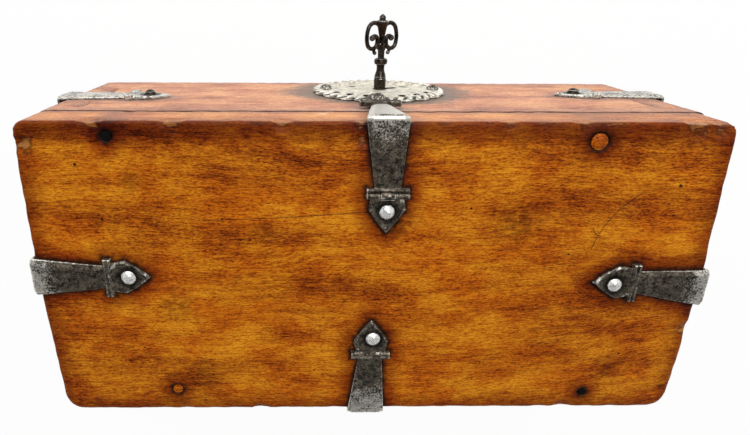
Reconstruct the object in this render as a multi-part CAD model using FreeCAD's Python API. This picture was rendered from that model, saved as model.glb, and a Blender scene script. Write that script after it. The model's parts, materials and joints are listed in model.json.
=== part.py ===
import FreeCAD, Part
import math
import os

# A small dovetailed coffer with wrought-iron strapwork, a hasp and a box lock.
# Millimetres. +Z up, -Y is the lock side, +X is to the right of someone who faces the lock.
# The origin is the middle of the face that the coffer stands on.

V = FreeCAD.Vector

# ---- driving dimensions: the wooden box ----
LENGTH = 340.0            # lid, left to right
DEPTH = 162.0             # lid, front to back
HEIGHT = 129.0            # floor to the top of the lid
LID_THICKNESS = 25.4
LID_SEAT = 0.2            # hair line between the lid and the walls
LID_OVERHANG = 1.0        # lid past each end wall
LID_CORNER = 11.0         # rounding of the lid's four corners in plan
LID_EDGE_WEAR = 2.2       # rounding of the lid's upper edge
LID_ARRIS = 0.8           # rounding of the lid's lower edge
WALL_CORNER = 5.0         # rounding of the box's upright corners
WALL = 20.0               # front and back boards
END_WALL = 19.0           # end boards
BOTTOM = 10.0             # bottom board
BOTTOM_LAP = 9.0          # how far the bottom is let into the walls
PIN_SLOPE = 0.32          # dovetail slope, sideways per length
# dovetail pins of each end: the lower one's middle above the floor, the upper one's middle below
# the box's upper edge, each with its width at the root
LOW_PIN_RIGHT = (37.7, 17.0)
HIGH_PIN_RIGHT = (18.4, 16.0)
LOW_PIN_LEFT = (33.0, 18.0)
HIGH_PIN_LEFT = (24.4, 27.0)

# ---- driving dimensions: strap iron ----
IRON = 2.0                # strap thickness
STRAP_WIDE = 20.0         # width at the bend over an edge
STRAP_NECK = 12.0         # width just before the collar
STRAP_BEVEL = 2.6         # width of the bevels along both sides
STRAP_BEVEL_DROP = 0.9
SPADE_BEVEL = 0.7
COLLAR_WIDTH = 20.5
COLLAR_BAR = 1.9          # width of each of the collar's two round-backed bars
COLLAR_PITCH = 2.1        # between the two bars
COLLAR_HEIGHT = 3.1
SPADE_SHOULDER = 14.0     # spade's width next to the collar
SPADE_WIDE = 17.9
SPADE_WIDE_AT = 8.6       # from the collar to the widest place
SPADE_LENGTH = 20.9       # from the collar to the tip
SHOULDER_BULGE = 0.45     # how round the spade's shoulders and cheeks are
CHEEK_BULGE = 0.55
RIVET_AT = 9.8            # from the collar to the rivet
DISH_RADIUS = 28.0        # hollow round each rivet
DISH_DEPTH = 0.95
LID_LEG = 36.8            # lid's edge to the collar, on the lid
FALL_LEG = 42.5           # lid's top to the collar, down a side
CORNER_LEG = 37.5         # box corner to the collar, on a corner strap
RIVET_HEAD = 3.9          # radius of a rivet's round head
RIVET_HEIGHT = 2.4
RIVET_SHANK = 1.7         # radius
RIVET_LENGTH = 13.0       # shank in the wood
NAIL_FIT = 0.05           # radial room round a shank
HOLE_ROOM = 0.5           # past the end of a shank

# ---- driving dimensions: where the ironwork sits ----
HASP_X = -3.6             # middle of the hasp at the lid's edge and below
HINGE_X = 1.2
LEFT_STRAP_Y = 4.5
RIGHT_STRAP_Y = -2.2
LEFT_SKEW = -3.4          # how far each forged strap runs aside from the lid's edge to its collar
RIGHT_SKEW = 0.0
HINGE_SKEW = -1.3
HASP_SKEW = 1.3
LEFT_RIVET_ASIDE = 1.2    # from the middle of the spade
HINGE_RIVET_ASIDE = -1.0
LEFT_CORNER_Z = 53.0
RIGHT_CORNER_Z = 63.0

# ---- driving dimensions: the two hinges ----
KNUCKLE = 2.6             # radius of the back hinge's barrel
KNUCKLE_AIR = 0.15        # barrel to wood
HINGE_PIN = 1.2           # radius
HASP_KNUCKLE = 1.6
HASP_PIN = 0.75
HASP_LEAF_AT = 35.4       # lid's edge to the hasp's pin
HASP_LEAF_RIVET = 8.3     # pin to the rivet of the leaf
PIN_FIT = 0.05            # radial running clearance
LEAF_GAP = 0.3            # between neighbouring knuckles
KNUCKLE_SHARE = 0.36      # middle knuckle's share of the barrel
HINGE_PIN_PROUD = 0.6     # each end of a pin past its barrel
HASP_PIN_PROUD = 0.4
HASP_BAR_HEIGHT = 2.7     # low enough to fold back on the leaf

# ---- driving dimensions: the hasp's lower end ----
HASP_NECK = 8.8           # width just above the lower collar
HASP_COLLAR = 21.5
HASP_END_LENGTH = 31.5    # collar to the tip
HASP_END_WIDE = 13.5
HASP_END_WIDE_AT = 11.0
HASP_END_SHOULDER = 10.5
HASP_END_BULGE = 0.5
HASP_END_CHEEK = 1.6
STAPLE_AT = 21.6          # from the lower collar to the middle of the staple
STUD_AT = 12.4             # from the lower collar
STUD_HEAD = 4.5
STUD_HEIGHT = 2.9
STUD_SHANK = 1.5

# ---- driving dimensions: the lock ----
PLATE_RADIUS = 39.2
PLATE_THICKNESS = 1.0
PLATE_X = -8.9
PLATE_Z = 39.9
LOBES = 20                # lobes of the plate's rim, with a hole in each
LOBE_NOTCH = 1.6          # depth of the notches between lobes
RIDGE_HEIGHT = 1.8        # raised border, above the plate's flat middle
RIDGE_INSET = 9.2         # rim to the top of the border
RIDGE_WIDTH = 12.7        # rim to the border's inner foot
RIDGE_FULL = 0.62         # height of the border's outer slope at its middle, as a share
FLUTE_RADIUS = 0.9        # flutes that run down from the border between the lobes
FLUTE_DEPTH = 0.45
RIDGE_ROOM = 0.5          # border to the hasp's lower end
PIERCE_RADIUS = 1.6
PIERCE_INSET = 7.5        # rim to the ring of holes
PLATE_NAIL_INSET = 7.0    # rim to the plate's nails
PLATE_NAIL_RISE = 6.5     # nails above the middle of the plate
PLATE_NAIL_CLEAR = 6.0    # no hole nearer than this to a nail
KEY_X = -10.5
KEY_Z = 35.0
KEY_REST = 120.0          # degrees from upright to the keyhole's slot, towards the left
BOLT_THROW = 9.0
HASP_AIR = 0.3            # hasp to lock plate
STAPLE_Z = 74.6           # middle of the staple's eye
STAPLE_WIDTH = 3.6
STAPLE_WIRE = 1.8
STAPLE_EYE = 3.6          # height of the eye
STAPLE_DEPTH = 5.8        # reach behind the lock plate
SLOT_ROOM = 0.5           # beside and under the staple
SLOT_RISE = 19.8          # room for the staple to rise as it swings out
MORTISE_DEPTH = 13.0
MORTISE_LEFT = 26.0       # from the plate's centre
MORTISE_RIGHT = 23.0
MORTISE_DOWN = 23.5
MORTISE_UP = 25.5
MORTISE_COVER = 0.5       # least cover of the plate round the mortise
FINGER_ROOM = 1.5         # behind the bolt's finger
CASE_ROOM = 1.6           # mortise round the lock's back plate
CASE_DEPTH = 11.0         # from the lock plate to its back plate
CASE_THICKNESS = 1.2
PILLAR_RADIUS = 1.6
PILLAR_INSET = 7.2
BOLT_DEPTH = 1.2          # from the lock plate to the bolt
BOLT_THICKNESS = 2.4
BOLT_LOW = 10.0           # key axis to the bolt's lower edge
BOLT_HIGH = 8.0           # height of the bolt's bar
BOLT_LEFT = 22.9          # bar's left end, from the key axis
BOLT_RIGHT = 14.0
TALON_DEPTH = 2.2
TALON_LEFT = 12.4         # talon's sides, from the key axis
TALON_RIGHT = 0.4
ARM_WIDTH = 4.0
FINGER_HEIGHT = 2.4
FINGER_CLEAR = 0.9        # finger's tip to the staple when unlocked
ARM_CLEAR = 0.7           # arm to the staple when locked
GUIDE_WIDTH = 2.5
GUIDE_WALL = 1.75
GUIDE_ROOM = 0.25
LEFT_GUIDE = -13.5        # left guide's left side, from the key axis
RIGHT_GUIDE = 10.5
SPRING_THICKNESS = 0.8
SPRING_ROOM = 0.3
SPRING_HALF = 4.2
SPRING_RISE = 2.0
SPRING_FOOT = 2.2

# ---- driving dimensions: the key ----
SHANK_RADIUS = 3.6
PIPE_RADIUS = 1.5         # bore of the shank
PIPE_START = 3.5          # bore's bottom, out from the front board
DRILL_PIN = 1.4
DRILL_PIN_OUT = 1.5       # post's straight part, out from the front board
DRILL_SHOULDER = 1.2      # shoulder wider than the post
DRILL_PLAY = 0.15         # shoulder to the key and to the back plate
SHANK_END = 10.3          # behind the lock plate
BIT_REACH = 11.5          # from the key's axis
BIT_THICKNESS = 2.6
BIT_FRONT = 1.5           # from the lock plate to the bit
BIT_BACK = 9.8
WARD_RADIUS = 7.6
WARD_THICKNESS = 0.8
WARD_HEIGHT = 3.4
WARD_ROOM = 0.45
KEYHOLE_ROOM = 0.3
BOW_BAR = 1.25            # radius of the bow's scrolled bars
BOW_BALL = 1.75           # radius of the ball at the end of each scroll
CURL_BAR = 0.95           # the small curls under the scrolls
CURL_BALL = 1.25
STRAND_BAR = 1.1          # the stem's two strands
STRAND_FOOT = (0.95, 18.5)   # where a strand starts and ends: from the axis, out from the front board
STRAND_HEAD = (1.35, 27.5)
# each scroll: start (from the axis, out from the front board), heading in degrees, radius of each
# bend, and degrees that each bend turns through
SCROLL_START = (1.4, 36.2)
SCROLL_HEADING = 72.0
SCROLL_BENDS = (4.5, 14.0, 3.6, 12.0, 1.9)
SCROLL_TURNS = (140.0, 38.0, 160.0, 10.0, 150.0)
CURL_START = (1.9, 24.5)
CURL_HEADING = 70.0
CURL_BENDS = (1.9,)
CURL_TURNS = (210.0,)
# half profiles of what is turned round the key's axis: radius, out from the front board
FINIAL = ((0.0, 25.0), (1.5, 26.0), (1.6, 31.0), (2.7, 36.5), (3.3, 39.2), (3.9, 39.5), (3.9, 40.4),
          (2.3, 40.8), (1.7, 41.3), (2.1, 42.1), (1.5, 43.3), (0.0, 44.4))
NECK = ((0.0, 19.4), (2.4, 19.4), (3.7, 18.9), (4.05, 17.4), (3.7, 15.9), (2.5, 15.4), (2.3, 13.6),
        (2.5, 11.8), (3.25, 9.6), (3.3, 9.3), (2.9, 9.1), (3.5, 8.7), (3.5, 8.1), (3.1, 7.8))
NECK_FOOT = 7.3           # where the plain shank starts, out from the front board

# ---- driving dimensions: pegs and nails ----
# x, side of the lid (-1 front, 1 back), distance in from that side, radius, proud
PEG_SPOTS = ((-102.6, -1, 9.1, 3.9, 1.1), (104.5, 1, 14.0, 2.6, 0.3))
STUB_SPOTS = ((126.1, -1, 6.9, 2.3, 0.2), (-119.5, 1, 10.8, 2.0, 0.2))
PEG_LENGTH = 20.0
BOTTOM_NAIL = 1.2         # shank radius
BOTTOM_NAIL_HEAD = 3.2
BOTTOM_NAIL_LENGTH = 26.0
BOTTOM_NAIL_PITCH = 120.0

# ---- worked out from the above ----
FRONT = -DEPTH / 2
BACK = DEPTH / 2
LID_END = LENGTH / 2
BOX_END = LID_END - LID_OVERHANG
LID_LOW = HEIGHT - LID_THICKNESS
BOX_TOP = LID_LOW - LID_SEAT
PLATE_FACE = FRONT - PLATE_THICKNESS
HASP_INNER = PLATE_FACE - HASP_AIR
HINGE_AXIS = V(HINGE_X, BACK + KNUCKLE + KNUCKLE_AIR, LID_LOW)
HASP_AXIS = V(HASP_X - HASP_SKEW, FRONT + HASP_LEAF_AT, HEIGHT + HASP_KNUCKLE + KNUCKLE_AIR)
HASP_TOP = HEIGHT + KNUCKLE_AIR
HASP_FALL = HASP_TOP - STAPLE_Z - STAPLE_AT
HASP_LEAF_X = HASP_X - HASP_SKEW
SLOT_TOP = STAPLE_Z + SLOT_RISE
BOLT_FRONT = FRONT + BOLT_DEPTH
BAR_LOW = KEY_Z + BOLT_LOW
BAR_TOP = BAR_LOW + BOLT_HIGH


# ---- small helpers ----
def block(x0, x1, y0, y1, z0, z1):
    return Part.makeBox(x1 - x0, y1 - y0, z1 - z0, V(x0, y0, z0))


def rod(start, end, radius):
    return Part.makeCylinder(radius, (end - start).Length, start, end - start)


def closed_face(points):
    return Part.Face(Part.makePolygon(list(points) + [points[0]]))


def frame_at(origin, along, across, out):
    """Matrix that takes a leg's own (u, v, w) to the coffer's x, y, z."""
    return FreeCAD.Matrix(
        along.x, across.x, out.x, origin.x,
        along.y, across.y, out.y, origin.y,
        along.z, across.z, out.z, origin.z,
        0, 0, 0, 1)


def placed(shape, matrix):
    return shape.transformed(matrix, True)


def fused(shapes):
    shapes = list(shapes)
    if len(shapes) == 1:
        return shapes[0]
    return shapes[0].multiFuse(shapes[1:]).removeSplitter()


def upright_edges(shape):
    """Edges that run straight up."""
    return [e for e in shape.Edges
            if abs(e.tangentAt(e.FirstParameter).z) > 0.99 and len(e.Vertexes) == 2
            and abs(e.Vertexes[0].Z - e.Vertexes[1].Z) > 1.0]


def rounded_block(half_x, half_y, low, high, corner):
    solid = block(-half_x, half_x, -half_y, half_y, low, high)
    return solid.makeFillet(corner, upright_edges(solid))


# ---- strap iron, drawn in its own frame: u along, v across, w out of the wood ----
SPADE = (SPADE_SHOULDER, SPADE_WIDE, SPADE_WIDE_AT, SPADE_LENGTH, SHOULDER_BULGE, CHEEK_BULGE)
HASP_END = (HASP_END_SHOULDER, HASP_END_WIDE, HASP_END_WIDE_AT, HASP_END_LENGTH,
            HASP_END_BULGE, HASP_END_CHEEK)


def strap_section(u, wide, middle=0.0):
    """Bevelled section across a strap."""
    half, flat = wide / 2, wide / 2 - STRAP_BEVEL
    side = IRON - STRAP_BEVEL_DROP
    points = [(-half, 0), (half, 0), (half, side), (flat, IRON), (-flat, IRON), (-half, side), (-half, 0)]
    return Part.makePolygon([V(u, middle + v, w) for v, w in points])


def taper(start, end, wide, narrow, skew=0.0):
    """The strap's plain part, from its wide end to its neck, which may lie aside."""
    return Part.makeLoft([strap_section(start, wide), strap_section(end, narrow, skew)], True, True)


def bend(width):
    """Quarter round that joins two legs over a wooden edge."""
    return Part.Face(strap_section(0, width)).revolve(V(0, 0, 0), V(0, -1, 0), 90)


def spade_face(collar, size):
    """Outline of the pointed end past a collar."""
    shoulder, wide, wide_at, length, shoulder_bulge, cheek_bulge = size
    widest, tip = collar + wide_at, collar + length
    bulge = V(collar + 0.5 * wide_at, 0.25 * (wide + shoulder) + shoulder_bulge, 0)
    cheek = V(widest + 0.5 * (tip - widest), 0.25 * wide + cheek_bulge, 0)
    upper = [V(collar, shoulder / 2, 0), bulge, V(widest, wide / 2, 0), cheek, V(tip, 0, 0)]
    lower = [V(p.x, -p.y, 0) for p in upper]
    edges = [Part.LineSegment(lower[0], upper[0]).toShape()]
    for side in (upper, lower):
        edges.append(Part.Arc(side[0], side[1], side[2]).toShape())
        edges.append(Part.Arc(side[2], side[3], side[4]).toShape())
    return Part.Face(Part.Wire(Part.__sortEdges__(edges)))


def rim_edges(solid, start):
    """Edges round the upper face, without the one at the collar."""
    edges = []
    for edge in solid.Edges:
        box = edge.BoundBox
        at_start = box.XMax - box.XMin < 1e-6 and abs(box.XMin - start) < 1e-6
        if box.ZMin > IRON - 1e-6 and not at_start:
            edges.append(edge)
    return edges


def spade(collar, size=SPADE):
    """Pointed end past a collar, bevelled round its rim."""
    solid = spade_face(collar, size).extrude(V(0, 0, IRON))
    return solid.makeChamfer(SPADE_BEVEL, rim_edges(solid, collar))


def dish(collar):
    """Hollow that is beaten into a spade round its rivet."""
    return Part.makeSphere(DISH_RADIUS, V(collar + RIVET_AT, 0, IRON - DISH_DEPTH + DISH_RADIUS))


def collar_bar(u, width=COLLAR_WIDTH, height=COLLAR_HEIGHT):
    """Round-backed bar across the strap."""
    radius = COLLAR_BAR / 2
    crown = height - radius
    foot = block(u - radius, u + radius, -width / 2, width / 2, 0, crown)
    return foot.fuse(rod(V(u, -width / 2, crown), V(u, width / 2, crown), radius))


def collar_bars(collar, width=COLLAR_WIDTH):
    return [collar_bar(collar + side * COLLAR_PITCH, width) for side in (-0.5, 0.5)]


def rivet_hole(at, aside=0.0):
    return rod(V(at, aside, -1), V(at, aside, 3 * IRON), RIVET_SHANK + NAIL_FIT)


def leg(collar, start=0.0, skew=0.0, rivet_aside=0.0):
    """A whole leg: taper, collar and dished spade, with its rivet hole."""
    end = fused([spade(collar)] + collar_bars(collar))
    end = end.cut([dish(collar), rivet_hole(collar + RIVET_AT, rivet_aside)])
    end.translate(V(0, skew, 0))
    return fused([taper(start, collar, STRAP_WIDE, STRAP_NECK, skew), end])


def rivet(radius, height, shank, length):
    """Round-headed rivet: head above w = 0, shank below it."""
    sphere = (radius * radius + height * height) / (2 * height)
    head = Part.makeSphere(sphere, V(0, 0, height - sphere))
    head = head.common(block(-radius, radius, -radius, radius, 0, height))
    return head.fuse(rod(V(0, 0, -length), V(0, 0, 0.1), shank)).removeSplitter()


def rivet_at(matrix, at, skew=0.0, aside=0.0, length=RIVET_LENGTH):
    """Rivet through a dished spade, its head down in the hollow."""
    seat = IRON - DISH_DEPTH + (RIVET_HEAD + abs(aside)) ** 2 / (2 * DISH_RADIUS)
    piece = rivet(RIVET_HEAD, RIVET_HEIGHT, RIVET_SHANK, seat + length)
    piece.translate(V(at, skew + aside, seat))
    return placed(piece, matrix)


def shank_hole(matrix, at, aside=0.0, length=RIVET_LENGTH):
    """The same rivet's hole in the wood."""
    hole = rod(V(at, aside, -length - HOLE_ROOM), V(at, aside, IRON), RIVET_SHANK + NAIL_FIT)
    return placed(hole, matrix)


# ---- places of the strap legs ----
X, Y, Z = V(1, 0, 0), V(0, 1, 0), V(0, 0, 1)
LEFT_ON_LID = frame_at(V(-LID_END, LEFT_STRAP_Y, HEIGHT), X, Y, Z)
LEFT_DOWN = frame_at(V(-LID_END, LEFT_STRAP_Y, HEIGHT), -Z, Y, -X)
RIGHT_ON_LID = frame_at(V(LID_END, RIGHT_STRAP_Y, HEIGHT), -X, -Y, Z)
RIGHT_DOWN = frame_at(V(LID_END, RIGHT_STRAP_Y, HEIGHT), -Z, -Y, X)
HINGE_ON_LID = frame_at(V(HINGE_X, BACK, HEIGHT), -Y, X, Z)
HINGE_DOWN = frame_at(V(HINGE_X, BACK, HEIGHT), -Z, X, Y)
HASP_LEAF_ON_LID = frame_at(V(HASP_LEAF_X, FRONT, HEIGHT), Y, -X, Z)
HASP_OVER_LID = frame_at(V(HASP_X, HASP_INNER, HASP_TOP), Y, -X, Z)
HASP_DOWN = frame_at(V(HASP_X, HASP_INNER, HASP_TOP), -Z, -X, -Y)


def corner_frames(side, face, height):
    """Frames of the two legs of a corner strap: on the front or back, and on the end."""
    corner = V(side * BOX_END, face * BACK, height)
    on_face = frame_at(corner, X * -side, Z * (side * face), Y * face)
    on_end = frame_at(corner, Y * -face, Z * (-side * face), X * side)
    return on_face, on_end


# rivets through the lid's top: place, distance from the edge, skew of the strap, rivet beside it
RIVET_FROM_EDGE = LID_LEG + RIVET_AT
LID_RIVETS = {
    "left": (LEFT_ON_LID, RIVET_FROM_EDGE, LEFT_SKEW, LEFT_RIVET_ASIDE),
    "right": (RIGHT_ON_LID, RIVET_FROM_EDGE, RIGHT_SKEW, 0.0),
    "hinge": (HINGE_ON_LID, RIVET_FROM_EDGE, HINGE_SKEW, HINGE_RIVET_ASIDE),
    "hasp": (HASP_LEAF_ON_LID, HASP_LEAF_AT + HASP_LEAF_RIVET, 0.0, 0.0),
}

CORNERS = {
    "front_left": corner_frames(-1, -1, LEFT_CORNER_Z),
    "front_right": corner_frames(1, -1, RIGHT_CORNER_Z),
    "back_left": corner_frames(-1, 1, LEFT_CORNER_Z),
    "back_right": corner_frames(1, 1, RIGHT_CORNER_Z),
}


# ---- the wooden box ----
def dovetail_pin(side, face, middle, width):
    """One pin of an end board: wide at its root, narrow at the board's outside."""
    root, tip = BOX_END - END_WALL, BOX_END
    narrow = width - 2 * PIN_SLOPE * END_WALL
    face_y = face * BACK
    outline = [V(side * root, face_y, middle - width / 2), V(side * tip, face_y, middle - narrow / 2),
               V(side * tip, face_y, middle + narrow / 2), V(side * root, face_y, middle + width / 2)]
    return closed_face(outline).extrude(V(0, -face * WALL, 0))


def pins_of(side, face):
    low, high = (LOW_PIN_RIGHT, HIGH_PIN_RIGHT) if side > 0 else (LOW_PIN_LEFT, HIGH_PIN_LEFT)
    return [dovetail_pin(side, face, low[0], low[1]),
            dovetail_pin(side, face, BOX_TOP - high[0], high[1])]


def box_outline():
    return rounded_block(BOX_END, BACK, 0, BOX_TOP, WALL_CORNER)


def bottom_block():
    reach_x = BOX_END - END_WALL + BOTTOM_LAP
    reach_y = BACK - WALL + BOTTOM_LAP
    return block(-reach_x, reach_x, -reach_y, reach_y, 0, BOTTOM)


def bottom_nail_spots():
    """Along the lap of the bottom, three to a long side and one to an end."""
    y = BACK - WALL + BOTTOM_LAP / 2
    x = BOX_END - END_WALL + BOTTOM_LAP / 2
    spots = [(k * BOTTOM_NAIL_PITCH, side * y) for side in (-1, 1) for k in (-1, 0, 1)]
    return spots + [(-x, 0.0), (x, 0.0)]


def bottom_nail(x, y, room=0.0):
    head = Part.makeCone(BOTTOM_NAIL_HEAD + room, BOTTOM_NAIL + room, BOTTOM_NAIL_HEAD, V(x, y, 0))
    return head.fuse(rod(V(x, y, 0), V(x, y, BOTTOM_NAIL_LENGTH + room), BOTTOM_NAIL + room))


def bottom_nails():
    return [bottom_nail(x, y) for x, y in bottom_nail_spots()]


def bottom_nail_holes():
    return [bottom_nail(x, y, NAIL_FIT) for x, y in bottom_nail_spots()]


def long_board(face):
    """Front or back board, with the tails."""
    y_out, y_in = face * BACK, face * (BACK - WALL)
    board = block(-BOX_END, BOX_END, min(y_out, y_in), max(y_out, y_in), 0, BOX_TOP)
    board = board.cut(pins_of(1, face) + pins_of(-1, face))
    board = board.common(box_outline())
    holes = [shank_hole(frames[0], CORNER_LEG + RIVET_AT) for name, frames in CORNERS.items()
             if name.startswith("back" if face > 0 else "front")]
    return board.cut([bottom_block()] + bottom_nail_holes() + holes)


def end_board(side):
    """End board, with the pins."""
    inner = BACK - WALL
    x_out, x_in = side * BOX_END, side * (BOX_END - END_WALL)
    board = block(min(x_out, x_in), max(x_out, x_in), -inner, inner, 0, BOX_TOP)
    board = fused([board] + pins_of(side, 1) + pins_of(side, -1)).common(box_outline())
    name = "right" if side > 0 else "left"
    holes = [shank_hole(CORNERS[face + "_" + name][1], CORNER_LEG + RIVET_AT) for face in ("front", "back")]
    return board.cut([bottom_block()] + bottom_nail_holes() + holes)


def slot_half():
    return STAPLE_WIDTH / 2 + SLOT_ROOM


def staple_foot():
    return STAPLE_Z - STAPLE_EYE / 2 - STAPLE_WIRE - SLOT_ROOM


def finger_tip():
    """Finger's tip when unlocked."""
    return HASP_X - STAPLE_WIDTH / 2 - FINGER_CLEAR


def arm_left():
    """Left side of the bolt's arm when unlocked."""
    return HASP_X - STAPLE_WIDTH / 2 - ARM_CLEAR - BOLT_THROW - ARM_WIDTH


def under_plate(inset):
    """Round block that the lock plate covers, less an inset."""
    radius = PLATE_RADIUS - LOBE_NOTCH - MORTISE_COVER - inset
    return rod(V(PLATE_X, FRONT, PLATE_Z), V(PLATE_X, FRONT + MORTISE_DEPTH, PLATE_Z), radius)


def lock_mortise():
    """Room in the front board for the lock, for its bolt's finger and for the hasp's staple."""
    lock = block(PLATE_X - MORTISE_LEFT, PLATE_X + MORTISE_RIGHT, FRONT, FRONT + MORTISE_DEPTH,
                 PLATE_Z - MORTISE_DOWN, PLATE_Z + MORTISE_UP)
    finger = block(arm_left() - SLOT_ROOM, finger_tip() + BOLT_THROW + SLOT_ROOM,
                   FRONT, FRONT + BOLT_DEPTH + BOLT_THICKNESS + FINGER_ROOM,
                   BAR_TOP, STAPLE_Z + FINGER_HEIGHT)
    slot = block(HASP_X - slot_half(), HASP_X + slot_half(), FRONT, FRONT + STAPLE_DEPTH + 2 * SLOT_ROOM,
                 staple_foot(), SLOT_TOP)
    return [lock.common(under_plate(0.0)), finger, slot]


def front_board():
    nails = [rod(V(x, FRONT, z), V(x, FRONT + RIVET_LENGTH + HOLE_ROOM, z), RIVET_SHANK + NAIL_FIT)
             for x, z in plate_nail_spots()]
    return long_board(-1).cut(lock_mortise() + nails)


def back_board():
    return long_board(1).cut(shank_hole(HINGE_DOWN, FALL_LEG + RIVET_AT))


# ---- the lid ----
def peg(x, side, inset, radius, proud):
    """Peg or nail stub through the lid's top, domed where it stands proud."""
    y = side * (BACK - inset)
    shaft = rod(V(x, y, HEIGHT - PEG_LENGTH), V(x, y, HEIGHT), radius)
    sphere = (radius * radius + proud * proud) / (2 * proud)
    dome = Part.makeSphere(sphere, V(x, y, HEIGHT + proud - sphere))
    dome = dome.common(rod(V(x, y, HEIGHT), V(x, y, HEIGHT + proud), radius))
    return shaft.fuse(dome).removeSplitter()


def peg_hole(x, side, inset, radius, _proud):
    y = side * (BACK - inset)
    return rod(V(x, y, HEIGHT - PEG_LENGTH - NAIL_FIT), V(x, y, HEIGHT + 1), radius + NAIL_FIT)


def lid_board():
    board = rounded_block(LID_END, BACK, LID_LOW, HEIGHT, LID_CORNER)
    upper = [e for e in board.Edges if e.BoundBox.ZMin > HEIGHT - 1e-6]
    board = board.makeFillet(LID_EDGE_WEAR, upper)
    lower = [e for e in board.Edges if e.BoundBox.ZMax < LID_LOW + 1e-6]
    board = board.makeFillet(LID_ARRIS, lower)
    holes = [peg_hole(*spot) for spot in PEG_SPOTS + STUB_SPOTS]
    for place, at, skew, aside in LID_RIVETS.values():
        holes.append(shank_hole(place, at, skew + aside))
    return board.cut(holes)


# ---- straps ----
def lid_strap(on_lid, down, skew=0.0, rivet_aside=0.0):
    """Strap over an end of the lid; its lower leg hangs free beside the box and centres the lid."""
    upper = placed(leg(LID_LEG, skew=skew, rivet_aside=rivet_aside), on_lid)
    return fused([upper, placed(bend(STRAP_WIDE), on_lid), placed(leg(FALL_LEG), down)])


def corner_strap(frames):
    on_face, on_end = frames
    corner = placed(bend(STRAP_WIDE), on_face)
    return fused([placed(leg(CORNER_LEG), on_face), corner, placed(leg(CORNER_LEG), on_end)])


def barrel(axis, radius, start, end, bore):
    """Hinge knuckle along X between two places measured from the axis point."""
    a, b = axis + X * start, axis + X * end
    return rod(a, b, radius).cut(rod(a - X, b + X, bore))


def knuckles(width, radius, axis, bore):
    """A barrel's middle knuckle and its two outer ones."""
    middle = width * KNUCKLE_SHARE / 2
    outer = [barrel(axis, radius, -width / 2, -middle - LEAF_GAP, bore),
             barrel(axis, radius, middle + LEAF_GAP, width / 2, bore)]
    return barrel(axis, radius, -middle, middle, bore), outer


def barrel_room(radius, axis, low, high):
    """Space that the other leaf's knuckle needs, between two places along the barrel."""
    a, b = axis + X * low, axis + X * high
    return rod(a, b, radius + LEAF_GAP)


def hasp_barrel_room(low, high):
    """The same space round the hasp's barrel, and square under it down to the lid."""
    across = HASP_KNUCKLE + LEAF_GAP
    under = block(HASP_AXIS.x + low, HASP_AXIS.x + high, HASP_AXIS.y - across, HASP_AXIS.y + across,
                  HEIGHT - IRON, HASP_AXIS.z)
    return barrel_room(HASP_KNUCKLE, HASP_AXIS, low, high).fuse(under)


def hinge_upper_leaf():
    """Over the lid's back edge, down to two outer knuckles."""
    width = STRAP_WIDE
    bore = HINGE_PIN + PIN_FIT
    _, outer = knuckles(width, KNUCKLE, HINGE_AXIS, bore)
    apron = block(HINGE_X - width / 2, HINGE_X + width / 2, BACK, BACK + IRON, HINGE_AXIS.z, HEIGHT)
    apron = apron.cut(rod(HINGE_AXIS - X * width, HINGE_AXIS + X * width, bore))
    middle = width * KNUCKLE_SHARE / 2 + LEAF_GAP
    upper = leg(LID_LEG, skew=HINGE_SKEW, rivet_aside=HINGE_RIVET_ASIDE)
    leaf = fused([placed(upper, HINGE_ON_LID), placed(bend(width), HINGE_ON_LID), apron] + outer)
    return leaf.cut(barrel_room(KNUCKLE, HINGE_AXIS, -middle, middle))


def hinge_lower_leaf():
    """Middle knuckle on the back board, tapering to a collar and spade."""
    width = STRAP_WIDE
    bore = HINGE_PIN + PIN_FIT
    middle, _ = knuckles(width, KNUCKLE, HINGE_AXIS, bore)
    start = LID_THICKNESS
    body = placed(leg(FALL_LEG, start=start), HINGE_DOWN)
    tongue = block(HINGE_X - width * KNUCKLE_SHARE / 2, HINGE_X + width * KNUCKLE_SHARE / 2,
                   BACK, BACK + IRON, HINGE_AXIS.z - KNUCKLE - IRON, HINGE_AXIS.z)
    edge = width * KNUCKLE_SHARE / 2
    rooms = [barrel_room(KNUCKLE, HINGE_AXIS, -width, -edge),
             barrel_room(KNUCKLE, HINGE_AXIS, edge, width)]
    bore_cut = rod(HINGE_AXIS - X * width, HINGE_AXIS + X * width, bore)
    return fused([body.cut(rooms), tongue, middle]).cut(bore_cut)


def hinge_pin():
    half = STRAP_WIDE / 2 + HINGE_PIN_PROUD
    return rod(HINGE_AXIS - X * half, HINGE_AXIS + X * half, HINGE_PIN)


# ---- the hasp ----
def hasp_leaf():
    """Spade on the lid with the two outer knuckles that carry the hasp."""
    bore = HASP_PIN + PIN_FIT
    _, outer = knuckles(COLLAR_WIDTH, HASP_KNUCKLE, HASP_AXIS, bore)
    collar = HASP_LEAF_AT + HASP_LEAF_RIVET - RIVET_AT
    head = spade(collar).cut([dish(collar), rivet_hole(collar + RIVET_AT)])
    head = placed(head, HASP_LEAF_ON_LID)
    middle = COLLAR_WIDTH * KNUCKLE_SHARE / 2 + LEAF_GAP
    leaf = fused([head] + outer)
    leaf = leaf.cut(hasp_barrel_room(-middle, middle))
    return leaf.cut(rod(HASP_AXIS - X * COLLAR_WIDTH, HASP_AXIS + X * COLLAR_WIDTH, bore))


def staple_legs():
    """The two legs of the staple, above and below its eye."""
    half = STAPLE_WIDTH / 2
    outer = STAPLE_EYE / 2 + STAPLE_WIRE
    inner = STAPLE_EYE / 2
    y0, y1 = HASP_INNER - IRON, FRONT + STAPLE_DEPTH - STAPLE_WIRE
    return [block(HASP_X - half, HASP_X + half, y0, y1, STAPLE_Z + inner, STAPLE_Z + outer),
            block(HASP_X - half, HASP_X + half, y0, y1, STAPLE_Z - outer, STAPLE_Z - inner)]


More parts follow.
